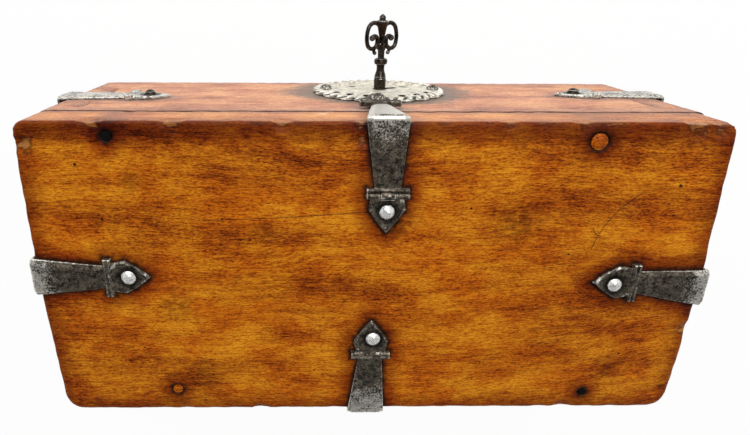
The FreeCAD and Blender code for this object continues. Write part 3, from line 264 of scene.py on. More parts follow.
# ---- shader maths ----
class Amount:
    """A number that changes over a surface; sums on it add the Math nodes."""

    def __init__(self, work, socket):
        self.work = work
        self.socket = socket

    def sum(self, operation, first, second=None):
        values = {0: first} if second is None else {0: first, 1: second}
        made = self.work.node("ShaderNodeMath", {"operation": operation}, values)
        return Amount(self.work, made.outputs[0])

    def __add__(self, other):
        return self.sum("ADD", self, other)

    __radd__ = __add__

    def __sub__(self, other):
        return self.sum("SUBTRACT", self, other)

    def __rsub__(self, other):
        return self.sum("SUBTRACT", other, self)

    def __mul__(self, other):
        return self.sum("MULTIPLY", self, other)

    __rmul__ = __mul__

    def __truediv__(self, other):
        return self.sum("DIVIDE", self, other)

    def __pow__(self, other):
        return self.sum("POWER", self, other)

    def size(self):
        return self.sum("ABSOLUTE", self)

    def most(self, other):
        return self.sum("MAXIMUM", self, other)

    def rise(self, low, high):
        """Smooth step from 0 at low to 1 at high; low may be the larger."""
        start, end, first, last = (low, high, 0.0, 1.0) if low < high else (high, low, 1.0, 0.0)
        made = self.work.node("ShaderNodeMapRange", {"interpolation_type": "SMOOTHSTEP"}, {
            "Value": self, "From Min": start, "From Max": end, "To Min": first, "To Max": last})
        return Amount(self.work, made.outputs[0])


def strongest(amounts):
    """The largest of several amounts at each place."""
    return functools.reduce(Amount.most, amounts)


class NodeWork:
    """Adds nodes to a node tree."""

    def __init__(self, tree):
        self.tree = tree

    def node(self, kind, options=None, values=None):
        """Adds a node: its settings first, then the values or links of its sockets."""
        made = self.tree.nodes.new(kind)
        for key, value in (options or {}).items():
            if key == "stops":
                self.set_stops(made.color_ramp, value)
            else:
                setattr(made, key, value)
        for key, value in (values or {}).items():
            socket = self.socket_of(made.inputs, key)
            if isinstance(value, Amount):
                self.tree.links.new(value.socket, socket)
            elif isinstance(value, bpy.types.NodeSocket):
                self.tree.links.new(value, socket)
            else:
                socket.default_value = value
        return made

    @staticmethod
    def socket_of(sockets, key):
        """Socket by its number, identifier or name."""
        if isinstance(key, int):
            return sockets[key]
        for socket in sockets:
            if socket.identifier == key:
                return socket
        return sockets[key]

    @staticmethod
    def set_stops(ramp, stops):
        while len(ramp.elements) < len(stops):
            ramp.elements.new(1.0)
        for element, (position, shade) in zip(ramp.elements, stops):
            element.position = position
            element.color = (*shade, 1.0)

    def amount(self, socket):
        return Amount(self, socket)


class Finish(NodeWork):
    """A material as it is built."""

    def __init__(self, name):
        self.material = bpy.data.materials.new(name)
        self.material.use_nodes = True
        super().__init__(self.material.node_tree)
        self.tree.nodes.clear()
        self.place = self.node("ShaderNodeTexCoord").outputs["Object"]

    def attribute(self, name):
        made = self.node("ShaderNodeAttribute", {"attribute_name": name})
        return self.amount(made.outputs["Fac"])

    def axes(self):
        """The three coordinates of a place on the piece, in millimetres."""
        made = self.node("ShaderNodeSeparateXYZ", None, {"Vector": self.stretched((1, 1, 1))})
        return [self.amount(out) for out in made.outputs]

    def stretched(self, scale, shift=(0, 0, 0)):
        """Object coordinates in millimetres, scaled along each axis."""
        made = self.node("ShaderNodeMapping", None, {
            "Vector": self.place, "Location": shift, "Scale": [s / MM for s in scale]})
        return made.outputs["Vector"]

    def noise(self, scale, detail=3.0, roughness=0.55, shift=(0, 0, 0), bend=0.0):
        """Noise whose scale along each axis is in turns per millimetre."""
        made = self.node("ShaderNodeTexNoise", {"noise_dimensions": "3D"}, {
            "Vector": self.stretched(scale, shift), "Scale": 1.0, "Detail": detail,
            "Roughness": roughness, "Distortion": bend})
        return self.amount(made.outputs["Fac"])

    def mix(self, factor, first, second):
        """Colour between two colours."""
        made = self.node("ShaderNodeMix", {"data_type": "RGBA"}, {
            "Factor_Float": factor, "A_Color": self.paint(first), "B_Color": self.paint(second)})
        return self.socket_of(made.outputs, "Result_Color")

    def dim(self, factor, shade, dark):
        """Colour multiplied by another as the factor rises."""
        made = self.node("ShaderNodeMix", {"data_type": "RGBA", "blend_type": "MULTIPLY"}, {
            "Factor_Float": factor, "A_Color": self.paint(shade), "B_Color": self.paint(dark)})
        return self.socket_of(made.outputs, "Result_Color")

    @staticmethod
    def paint(shade):
        if isinstance(shade, bpy.types.NodeSocket):
            return shade
        return (*shade, 1.0)

    def bump(self, height, depth):
        """Normal of a surface whose relief is height times depth in metres."""
        made = self.node("ShaderNodeBump", None, {"Height": height, "Distance": depth, "Strength": 1.0})
        return made.outputs["Normal"]

    def skin(self, **values):
        """The surface shader, with its sockets by name in small letters."""
        named = {key.replace("_", " ").title(): value for key, value in values.items()}
        if "Specular Ior Level" in named:
            named["Specular IOR Level"] = named.pop("Specular Ior Level")
        made = self.node("ShaderNodeBsdfPrincipled", None, named)
        self.node("ShaderNodeOutputMaterial", None, {"Surface": made.outputs["BSDF"]})
        return self.material


def spot(x, y, place, radius, soft=0.5):
    """Round mark at a place in the lid's plane."""
    away = ((x - place[0]) ** 2.0 + (y - place[1]) ** 2.0) ** 0.5
    return away.rise(radius * (1 + soft), radius * (1 - soft))


def crack(x, y, start, end, aside, width):
    """Hairline from start to end whose middle bends aside."""
    along = Vector((end[0] - start[0], end[1] - start[1]))
    span = along.length
    along /= span
    t = ((x - start[0]) * along.x + (y - start[1]) * along.y) / span
    across = (x - start[0]) * (-along.y) + (y - start[1]) * along.x
    bow = (1 - t) * t * (4 * aside)
    line = (across - bow).size().rise(width, width * 0.2)
    return line * t.rise(-0.01, 0.02) * t.rise(1.01, 0.98)


# ---- materials ----
class Wood(Finish):
    """Polished softwood whose grain runs along one axis (0 is X, 1 is Y)."""

    def __init__(self, name, along, seed, slanted):
        super().__init__(name)
        self.colours = settings("coffer_wood")
        self.along = along
        self.shift = (seed * 13.7, seed * 5.3, seed * 9.1)
        self.x, self.y, self.z = self.axes()
        self.bend_grain(slanted)
        self.blotch = self.noise((0.35, 0.35, 0.35), detail=4.0, shift=self.shift)
        self.ragged = self.noise((0.16, 0.55, 0.9), detail=4.0, roughness=0.65, shift=self.shift)
        self.cloud = self.noise((1 / 26, 1 / 16, 1 / 16), detail=4.0, roughness=0.6, shift=self.shift)
        self.broad = self.grain(BROAD_STREAK, detail=2.0)
        self.bands = self.grain(YEAR_BAND, detail=3.0, roughness=0.6, bend=0.6)
        self.pores = self.grain(PORE, detail=1.0)

    def bend_grain(self, slanted):
        """Lets the grain wander by a few millimetres, and slant where the lid's left end does."""
        sway = (self.noise((1 / 85, 1 / 60, 1 / 60), detail=2.0, shift=self.shift) - 0.5) * (11 * MM)
        if slanted:
            sway = sway + (-50.0 - self.x).most(0.0) * self.y.rise(-25.0, 35.0) * (0.15 * MM)
        bent = self.node("ShaderNodeCombineXYZ", None, {1 - self.along: sway})
        moved = self.node("ShaderNodeVectorMath", {"operation": "ADD"}, {
            0: self.place, 1: bent.outputs[0]})
        self.place = moved.outputs[0]

    def grain(self, streak, **options):
        """Noise in streaks along the grain, of this length and width."""
        length, width = streak
        scale = [1 / width] * 3
        scale[self.along] = 1 / length
        return self.noise(scale, shift=self.shift, **options)

    def figure(self):
        """Colour and lightness of the clean grain."""
        colours = self.colours
        fibre = self.grain(FIBRE, detail=4.0, roughness=0.8, bend=0.3)
        fleck = self.grain(FLECK, detail=3.0, roughness=0.7)
        tone = (self.broad.rise(0.32, 0.68) * 0.26 + self.bands.rise(0.30, 0.70) * 0.14
                + fibre.rise(0.33, 0.67) * 0.40 + fleck.rise(0.32, 0.68) * 0.32
                + self.cloud.rise(0.30, 0.70) * 0.28 - 0.20)
        ramp = self.node("ShaderNodeValToRGB", {"stops": [
            (0.0, colours.umber), (0.25, colours.amber), (0.53, colours.honey), (0.92, colours.gold)]},
            {"Fac": tone})
        shade = self.dim(self.cloud.rise(0.58, 0.38) * 0.55, ramp.outputs["Color"], RED_TINT)
        shade = self.mix(self.bands.rise(0.38, 0.30) * 0.35, shade, colours.amber)
        shade = self.dim(fleck.rise(0.48, 0.34) * 0.6, shade, FLECK_TINT)
        shade = self.mix(self.pores.rise(0.33, 0.27) * 0.6, shade, colours.umber)
        return shade, tone

    def edges(self, shade):
        """Iron stain with painted shade beside the iron, a painted black shadow line along it, a dark rim,
        and edges that are worn bare.
        """
        stain_and_shade = self.attribute("near_iron")
        rim = self.attribute("rim")
        worn = self.attribute("worn")
        # iron stain with painted shade, darkest by the iron
        shade = self.dim((stain_and_shade + self.ragged * 0.5 - 0.25).rise(0.10, 0.80) * 0.95, shade, STAIN_AND_SHADE_TINT)
        shade = self.dim((rim * 1.1 + self.ragged - 0.5).rise(0.25, 0.85) * 0.8, shade, RIM_TINT)
        shade = self.mix((worn + self.ragged - 0.5).rise(0.50, 0.82) * 0.6, shade, self.colours.umber)
        shade = self.mix((worn + self.ragged * 1.4 - 0.7).rise(0.78, 1.0) * 0.7, shade, self.colours.bare)
        # painted shadow: a black line along the iron's edges
        edge_shadow = (stain_and_shade + self.blotch * 0.35 - 0.175).rise(0.70, 1.0)
        return self.mix(edge_shadow * 0.95, shade, self.colours.soot)

    def cracks(self):
        """1 in the lid's cracks and holes."""
        marks = [crack(self.x, self.y, start, end, aside, 0.38) * 0.75 for start, end, aside in LID_CRACKS]
        marks += [spot(self.x, self.y, place, radius) for place, radius in LID_HOLES]
        return strongest(marks)

    def lid_marks(self, shade, on_top, cracks):
        """The lid's handled front band, smudges, cracks and pale slivers."""
        handled = (self.y.rise(-66.0, -77.0) + self.ragged * 0.9 - 0.5).rise(0.05, 0.75) * on_top
        shade = self.dim(handled * 0.72, shade, HANDLED_TINT)
        smudges = strongest([spot(self.x, self.y, place, radius, 0.9) for place, radius in LID_SMUDGES])
        shade = self.dim(smudges * on_top * self.blotch.rise(0.30, 0.60) * 0.65, shade, SMUDGE_TINT)
        # cracks and holes painted near-black: painted shade inside them
        shade = self.mix(cracks * 0.95, shade, CRACK_BLACK)
        for (place_x, place_z), length in LID_SLIVERS:
            away = (((self.x - place_x) / length) ** 2.0 + ((self.z - place_z) / 1.1) ** 2.0) ** 0.5
            sliver = away.rise(1.1, 0.7) * self.y.rise(-70.0, -75.0)
            shade = self.mix(sliver * 0.8, shade, self.colours.sheen)
        return shade

    def upright_faces(self, shade, tone, sheen, bloom):
        """Painted sheen as a pale wash, the stain round the lock plate and a painted shadow where the lid
        meets the walls.
        """
        # painted sheen: a pale wash over the grain for the light that glances off the upright faces
        shade = self.mix((tone * 0.38 + 0.06) * sheen, shade, bloom)
        aside = (self.x - PLATE_MIDDLE.x / MM) * 0.8
        away = (aside ** 2.0 + (self.z - PLATE_MIDDLE.z / MM) ** 2.0) ** 0.5
        stain = (away.rise(PLATE_RADIUS / MM + 18, PLATE_RADIUS / MM - 4)
                 + self.bands.rise(0.36, 0.64) * 0.5 + self.blotch.rise(0.35, 0.65) * 0.3 - 0.80)
        on_front = self.y.rise(FRONT / MM + 4.0, FRONT / MM + 2.0)
        shade = self.mix(stain.rise(0.0, 0.60) * on_front * sheen * 0.85, shade, self.colours.stain)
        past_side = self.x.size() - LID[1].x / MM
        past_front = self.y.size() - LID[1].y / MM
        outside = past_side.most(past_front).rise(-4.0, -2.5)
        # painted shadow: a dark line in the joint between the lid and the walls
        seam_shadow = (self.z - SEAM / MM).size().rise(2.3, 1.0) * outside
        return self.dim(seam_shadow * sheen, shade, SEAM_SHADOW_TINT)


def wood(name, along, gloss, seed, top=False, sheen_level=1.0):
    """The wood of a board: the lid's top has marks of its own, and upright faces get a pale painted sheen.
    """
    finish = Wood(name, along, seed, slanted=top)
    shade, tone = finish.figure()
    relief = tone * 0.5 + finish.pores.rise(0.26, 0.38) * 0.5
    shade = finish.edges(shade)
    # how strong the painted sheen is, and its pale colour; on the lid only the edges get it
    sheen = sheen_level
    bloom = finish.colours.sheen
    if top:
        on_top = finish.z.rise(TOP / MM - 3.0, TOP / MM - 1.0)
        cracks = finish.cracks() * on_top
        shade = finish.lid_marks(shade, on_top, cracks)
        relief = relief - cracks
        sheen = (1 - on_top) * sheen_level
        bloom = finish.colours.edge_sheen
    shade = finish.upright_faces(shade, tone, sheen, bloom)
    roughness = finish.cloud * 0.12 + gloss + finish.pores.rise(0.4, 0.3) * 0.2
    return finish.skin(base_color=shade, roughness=roughness, specular_ior_level=0.10,
                       normal=finish.bump(relief, 0.10 * MM))


def iron(name, bright, rust, gloss=0.42, plate=False, dark=0.0):
    """Forged iron: dark pitted skin, worn bright on its raised edges and where hands wear it, with painted
    highlights on edges and bends and painted light on the lock side; black where sooty and in painted
    shade.
    """
    shades = settings("coffer_iron")
    finish = Finish(name)
    patches = finish.noise((1 / 5, 1 / 5, 1 / 5), detail=5.0, roughness=0.75)
    speckle = finish.noise((1.0, 1.0, 1.0), detail=5.0, roughness=0.8)
    pits = finish.noise((0.42, 0.42, 0.42), detail=5.0, roughness=0.75)
    raised = finish.attribute("raised")
    rubbed = finish.attribute("rubbed")
    skin = shades.tin if plate else shades.scale
    shade = finish.mix(patches.rise(0.42, 0.62) * rust, skin, shades.rust)
    mottle = (speckle + patches - 0.5).rise(0.42, 0.60)
    shade = finish.mix(mottle * (0.12 if plate else 0.75), shade, shades.olive)
    shade = finish.mix(pits.rise(0.51, 0.40) * (0.35 if plate else 0.9), shade, PIT_BLACK)
    shade = finish.dim(dark, shade, BLACKING_TINT)
    # real wear, plus painted highlights on raised edges and bends and painted light on the lock side's
    # iron
    wear = (speckle + patches * 0.5 + rubbed * 0.50 + bright - 0.95).rise(0.02, 0.12)
    edge = (raised + speckle * 0.8 + rubbed * 0.25 - 0.46).rise(0.10, 0.42)
    polish = wear.most(edge).most((rubbed + speckle * 0.6 - 0.3).rise(0.80, 1.0))
    shade = finish.mix(polish * 0.85, shade, shades.steel)
    # black where sooty, and painted shade round rivets and in the plate's holes and grooves
    shade = finish.mix(finish.attribute("soot"), shade, SOOT_AND_SHADE_BLACK)
    relief = pits * 0.7 + speckle * 0.3
    normal = finish.bump(relief, 0.20 * MM)
    return finish.skin(base_color=shade, metallic=0.80 - polish * 0.25,
                       roughness=(1 - polish) * 0.22 + gloss - 0.08, normal=normal)


def burnished(name, shade, gloss):
    """Bright hammered metal."""
    finish = Finish(name)
    dents = finish.noise((0.55, 0.55, 0.55), detail=3.0, roughness=0.6)
    stain = finish.noise((0.8, 0.8, 0.8), detail=4.0, roughness=0.7, shift=(9, 2, 4))
    tone = finish.mix(stain.rise(0.50, 0.36) * 0.55, shade, settings("coffer_iron").scale)
    return finish.skin(base_color=tone, metallic=0.45, roughness=stain * 0.25 + gloss,
                       normal=finish.bump(dents, 0.35 * MM))


def plain(name, shade, roughness):
    """Dull surface of a single colour."""
    finish = Finish(name)
    return finish.skin(base_color=(*shade, 1.0), roughness=roughness, specular_ior_level=0.1)


# ---- meshes ----
def copy_of(node, name):
    """Copy of a CAD node with its corners merged, as a piece of its own."""
    mesh = frame["nodes"][node].data.copy()
    mesh.materials.clear()
    work = bmesh.new()
    work.from_mesh(mesh)
    bmesh.ops.remove_doubles(work, verts=work.verts, dist=0.005 * MM)
    work.to_mesh(mesh)
    work.free()
    piece = bpy.data.objects.new(name, mesh)
    bpy.context.scene.collection.objects.link(piece)
    return piece


def settle(piece):
    """Turns a piece and its modifiers into one plain mesh."""
    graph = bpy.context.evaluated_depsgraph_get()
    mesh = bpy.data.meshes.new_from_object(piece.evaluated_get(graph))
    piece.modifiers.clear()
    piece.data = mesh
    for face in mesh.polygons:
        face.use_smooth = True


def even_mesh(piece, size):
    """Covers a piece with a grid of even faces."""
    grid = piece.modifiers.new("Even mesh", "REMESH")
    grid.mode = "VOXEL"
    grid.voxel_size = size * 1.0
    settle(piece)


def points_of(mesh):
    """Places and normals of a mesh's points."""
    places = np.zeros(len(mesh.vertices) * 3)
    mesh.vertices.foreach_get("co", places)
    normals = np.zeros(len(mesh.vertices) * 3)
    mesh.vertices.foreach_get("normal", normals)
    return places.reshape(-1, 3), normals.reshape(-1, 3)


def move_points(mesh, places):
    mesh.vertices.foreach_set("co", places.ravel())
    mesh.update()


def rough(places, size, seed):
    """Noise from about -1 to 1 at each place, whose lumps are about one size across."""
    offset = Vector((seed * 17.3, seed * 3.1, seed * 7.7))
    return np.array([noise.noise(Vector(p) / size + offset) for p in places.tolist()])


def set_layer(mesh, name, values):
    """Stores one value for each point, for the materials to read."""
    layer = mesh.attributes.new(name, "FLOAT", "POINT")
    layer.data.foreach_set("value", np.asarray(values, np.float32))


def convexity(mesh):
    """How far each point stands out from its neighbours, against the edge length."""
    places, normals = points_of(mesh)
    ends = np.zeros(len(mesh.edges) * 2, np.int64)
    mesh.edges.foreach_get("vertices", ends)
    ends = ends.reshape(-1, 2)
    total = np.zeros_like(places)
    count = np.zeros(len(places))
    for first, second in ((0, 1), (1, 0)):
        np.add.at(total, ends[:, first], places[ends[:, second]])
        np.add.at(count, ends[:, first], 1)
    middle = total / np.maximum(count, 1)[:, None]
    reach = np.linalg.norm(places[ends[:, 0]] - places[ends[:, 1]], axis=1).mean()
    return ((places - middle) * normals).sum(1) / reach


def nearness(places, nodes, reach):
    """1 beside these CAD nodes, falling to 0 at reach from them."""
    corners, faces = [], []
    for node in nodes:
        data = frame["nodes"][node].data
        start = len(corners)
        corners += [v.co.copy() for v in data.vertices]
        faces += [[start + k for k in face.vertices] for face in data.polygons]
    tree = BVHTree.FromPolygons(corners, faces)
    gaps = (tree.find_nearest(place, reach)[3] for place in places.tolist())
    return np.array([0.0 if gap is None else 1.0 - gap / reach for gap in gaps])


def finish_piece(piece, node, material):
    """Gives a piece its material, body and slot, in place of its CAD node."""
    piece.data.materials.clear()
    piece.data.materials.append(material)
    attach(piece, frame["nodes"][node]["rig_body"])
    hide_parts(node)


def dress(node, material):
    """Gives a CAD node a better material."""
    mesh = frame["nodes"][node].data
    mesh.materials.clear()
    mesh.materials.append(material)


# ---- boards ----
def worn_ends(places, middle, half):
    """Moves the lid's ends inwards, as far as its table says for each place from front to back."""
    moved = places.copy()
    aside = (places[:, 0] - middle) / half
    for side, (stations, depths) in LID_ENDS.items():
        depth = np.interp(places[:, 1] / MM, stations, depths) * MM
        moved[:, 0] -= np.where(aside * side > 0, side * depth * np.abs(aside) ** 6, 0)
    return moved


def worn_board(node, material, mesh_size, chips=(), crisp=(), ends_worn=False):
    """A board with worn, chipped edges and a slightly uneven face."""
    wear = settings("coffer_wood")
    low, high = (np.array(corner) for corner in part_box(node))
    piece = copy_of(node, "worn_" + node)
    even_mesh(piece, mesh_size)
    mesh = piece.data
    places, normals = points_of(mesh)
    for axes, radius, power in crisp:
        places = crisper(places, low, high, radius * MM, axes, power)
    inset = np.sort(np.minimum(places - low, high - places), axis=1)
    edge = np.exp(-(np.maximum(inset[:, 1], 0) / EDGE_WIDTH) ** 2)
    lumps = rough(places, 7 * MM, wear.seed)
    fine = rough(places, 2.2 * MM, wear.seed + 3)
    depth = edge * np.clip(lumps * 0.9 + 0.25, 0, 1) * wear.wear
    worn = edge * np.clip(lumps * 0.8 + 0.55, 0, 1)
    rim = np.exp(-np.maximum(inset[:, 1], 0) / RIM_WIDTH)
    for place, radius, chip_depth in chips:
        away = np.linalg.norm(places - np.array(place) * MM, axis=1) / (radius * MM)
        cut = np.clip(1.15 - away + fine * 0.35, 0, 1) ** 0.6
        depth = np.maximum(depth, cut * chip_depth * MM)
        worn = np.maximum(worn, cut)
    depth += (fine * 0.05 + rough(places, 24 * MM, wear.seed + 5) * 0.09) * MM
    places = places - normals * depth[:, None]
    if ends_worn:
        places = worn_ends(places, (low + high)[0] / 2, (high - low)[0] / 2)
    move_points(mesh, places)
    set_layer(mesh, "worn", worn)
    set_layer(mesh, "rim", rim)
    # how near the iron: the iron's stain and painted shade on the wood follow this
    set_layer(mesh, "near_iron", nearness(places, IRON_NODES + RIVET_NODES + PEG_NODES, STAIN_AND_SHADE_REACH))
    finish_piece(piece, node, material)


def crisper(places, low, high, radius, axes, power):
    """Moves points of a front edge's rounding out towards the corner of a box, along two axes."""
    moved = places.copy()
    pair = places[:, axes]
    middle = (low + high)[axes] / 2
    reach = (high - low)[axes] / 2 - radius
    beyond = (np.abs(pair - middle) - reach) / radius
    inside = (beyond > 0).all(axis=1) & (places[:, 1] < (low + high)[1] / 2)
    far = np.maximum(beyond, 1e-6)
    round_size = np.sqrt((far ** 2).sum(axis=1))
    full_size = ((far ** power).sum(axis=1)) ** (1 / power)
    pushed = np.minimum(far * (round_size / full_size)[:, None], 1)
    new = middle + np.sign(pair - middle) * (reach + pushed * radius)
    moved[:, axes] = np.where(inside[:, None], new, pair)
    return moved


class COFFER_OT_lid(bpy.types.Operator):
    """Makes the lid's worn board, with its cracks and holes"""
    bl_idname = "coffer.lid"
    bl_label = "Lid board"

    def execute(self, context):
        finish = wood("Lid wood", along=0, gloss=0.34, seed=1, top=True, sheen_level=0.85)
        worn_board("lid_board", finish, settings("coffer_wood").mesh, LID_CHIPS, LID_CRISP,
                   ends_worn=True)
        return {"FINISHED"}


class COFFER_OT_walls(bpy.types.Operator):
    """Makes the four dovetailed walls and the bottom"""
    bl_idname = "coffer.walls"
    bl_label = "Walls and bottom"

    def execute(self, context):
        mesh_size = settings("coffer_wood").mesh
        for seed, (node, along) in enumerate(WALLS, 2):
            finish = wood("Wood of the " + node.replace("_", " "), along, gloss=0.38, seed=seed)
            worn_board(node, finish, mesh_size)
        finish = wood("Bottom wood", along=0, gloss=0.55, seed=6)
        worn_board("bottom_board", finish, 1.6 * mesh_size)
        return {"FINISHED"}


class COFFER_OT_pegs(bpy.types.Operator):
    """Makes the wooden pegs and the nail stubs of the lid"""
    bl_idname = "coffer.pegs"
    bl_label = "Pegs and nail stubs"

    def execute(self, context):
        dress("lid_pegs", wood("Peg wood", along=0, gloss=0.35, seed=8, sheen_level=0.0))
        stub = plain("Nail stubs", STUB_BLACK, roughness=0.9)
        for node in ("lid_nail_stubs", "bottom_nails"):
            dress(node, stub)
        return {"FINISHED"}


# ---- ironwork ----
def hand_rubbed_and_lit(places):
    """1 where hands wear the iron over the lid's edge; a painted highlight along the bend past that edge,
    and painted light on the lock side's iron and down the hasp.
    """
    low, high = (np.array(corner) for corner in LID)
    inset_x, inset_y = np.minimum(places - low, high - places)[:, :2].T
    inset = np.minimum(inset_x, inset_y)
    at_hinge = (inset_y < inset_x) & (places[:, 1] > 0)
    at_hasp = (inset_y < inset_x) & (places[:, 1] < 0)
    depth = np.where(at_hinge, HINGE_HAND_REACH, HAND_REACH)
    strength = np.select([at_hinge, at_hasp], [0.66, 0.36], 0.62)
    reach = np.exp(-(np.maximum(inset, 0) / depth) ** 2) * strength
    # painted highlight: a bright line along the bend just past the lid's edge
    line = np.exp(-(np.abs(inset + 2.0 * MM) / (1.2 * MM)) ** 2)
    on_lid = places[:, 2] > TOP - 1.5 * MM
    # painted light: iron that stands out from the lock side is lighter, the hasp most of all above its
    # bend
    proud = np.clip((FRONT + 0.6 * MM - places[:, 1]) / (1.0 * MM), 0, 1)
    bend = np.clip((places[:, 2] - (SEAM - HASP_BEND)) / HASP_BEND, 0, 1)
    near_hasp = np.abs(places[:, 0] - PLATE_MIDDLE.x) < HASP_REACH
    side = np.where(near_hasp, 0.15 + 0.78 * bend, 0.60)
    return np.where(on_lid, np.maximum(reach, line), proud * side)


def petal_grooves(places):
    """1 in the grooves between the petals of the lock plate's rim, painted dark as shade."""
    petals = settings("coffer_iron").petals
    aside, upward = places[:, 0] - PLATE_MIDDLE.x, places[:, 2] - PLATE_MIDDLE.z
    away = np.hypot(aside, upward)
    turn = np.arctan2(aside, upward) - math.tan(PETAL_SLANT) * (away - PETAL_RING) / PETAL_RING
    band = np.clip(1.4 - np.abs(away - PETAL_RING - 0.3 * MM) / (2.6 * MM), 0, 1)
    return np.clip((np.cos(petals * turn) - 0.15) / 0.35, 0, 1) * band * 0.95


def inside_holes(places, normals):
    """1 on the inner walls of the lock plate's holes and just round them, painted dark as shade."""
    away = np.hypot(places[:, 0] - PLATE_MIDDLE.x, places[:, 2] - PLATE_MIDDLE.z)
    walls = (np.abs(normals[:, 1]) < 0.6) & (away < PLATE_RADIUS - 2.6 * MM)
    tree = KDTree(max(int(walls.sum()), 1))
    for index, place in enumerate(places[walls].tolist()):
        tree.insert(place, index)
    tree.balance()
    gaps = np.array([tree.find(place)[2] or 0.0 for place in places.tolist()])
    return np.clip(1.25 - gaps / (0.8 * MM), 0, 1)


def tall_heads(places, face):
    """Makes rivet heads on the lock side taller and wider; face is the strap's outer face."""
    head = places[:, 1] < face
    middle = (places[head].max(axis=0) + places[head].min(axis=0)) / 2
    middle[1] = face
    places[head] = middle + (places[head] - middle) * np.array(HEAD_GROWTH)


def iron_wear(node, places, normals):
    """How far an iron piece is worn bright and painted light, and how far it is blackened by sooty marks
    and painted shade, from 0 to 1 at each place.
    """
    rubbed = hand_rubbed_and_lit(places)
    soot = np.zeros(len(places))
    if node in IRON_NODES:
        gap = 1 - nearness(places, RIVET_NODES, AROUND_RIVET_REACH)
        # painted shade: a dark dish and shadow ring round each rivet
        soot = 0.8 * np.clip(1.35 - gap * 4.2, 0, 1)
        patches = np.clip(rough(places, 2.4 * MM, 21) * 2.2, 0, 1) * np.clip(gap * 6 - 2.2, 0, 1)
        rubbed = np.maximum(rubbed, 0.75 * patches * (gap < 0.68))
    if node == "lock_plate":
        # painted shade in the lock plate's holes and the grooves between its petals
        soot = np.maximum(inside_holes(places, normals), petal_grooves(places))
    if node == "hasp":
        below_bend = np.clip((SEAM - HASP_BEND - places[:, 2]) / (2 * MM), 0, 1)
        # the hasp is darker below its bend
        soot = np.maximum(soot, 0.40 * below_bend * (places[:, 1] < FRONT))
    return rubbed, soot


def forged(node, material, mesh_size, marks, rub_and_light=1.0):
    """An iron piece with the hammer's marks and worn edges."""
    piece = copy_of(node, "forged_" + node)
    even_mesh(piece, mesh_size)
    mesh = piece.data
    places, normals = points_of(mesh)
    dents = rough(places, 5.5 * MM, 11) * 0.7 + rough(places, 1.8 * MM, 12) * 0.45
    places += normals * (dents * marks)[:, None]
    if node in TALL_RIVETS:
        tall_heads(places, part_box(TALL_RIVETS[node])[0].y)
    move_points(mesh, places)
    # layers for wear with painted highlights and light, and for sooty marks with painted shade
    set_layer(mesh, "raised", np.clip(convexity(mesh) * 2.2, 0, 1))
    rubbed, soot = iron_wear(node, places, normals)
    set_layer(mesh, "rubbed", rub_and_light * rubbed)
    set_layer(mesh, "soot", soot)
    finish_piece(piece, node, material)


class COFFER_OT_straps(bpy.types.Operator):
    """Makes the forged straps and hinge leaves"""
    bl_idname = "coffer.straps"
    bl_label = "Straps and hinges"

    def execute(self, context):
        shades = settings("coffer_iron")
        finish = iron("Strap iron", bright=0.0, rust=0.55)
        for node in STRAP_NODES:
            forged(node, finish, shades.mesh, shades.forging)
        return {"FINISHED"}


class COFFER_OT_hasp(bpy.types.Operator):
    """Makes the hasp, its leaf, stud and staple"""
    bl_idname = "coffer.hasp"
    bl_label = "Hasp"

    def execute(self, context):
        shades = settings("coffer_iron")
        finish = iron("Hasp iron", bright=0.06, rust=0.8)
        for node in HASP_NODES:
            forged(node, finish, shades.mesh, shades.forging)
        grey = iron("Stud iron", bright=0.12, rust=0.2, gloss=0.52)
        forged("hasp_stud", grey, RIVET_MESH, 1.6 * shades.forging)
        for node in ("hasp_staple", "hasp_pin", "hinge_pin"):
            dress(node, finish)
        return {"FINISHED"}


class COFFER_OT_rivets(bpy.types.Operator):
    """Makes the burnished rivet heads"""
    bl_idname = "coffer.rivets"
    bl_label = "Rivets"

    def execute(self, context):
        shades = settings("coffer_iron")
        bright = burnished("Rivet iron", shades.rivet, gloss=0.16)
        black = iron("Blackened rivet iron", bright=-0.10, rust=0.3, gloss=0.30, dark=0.9)
        for node in RIVET_NODES:
            dark = node.startswith("corner")
            forged(node, black if dark else bright, RIVET_MESH, 1.6 * shades.forging,
                   rub_and_light=0.0 if dark else 1.0)
        return {"FINISHED"}


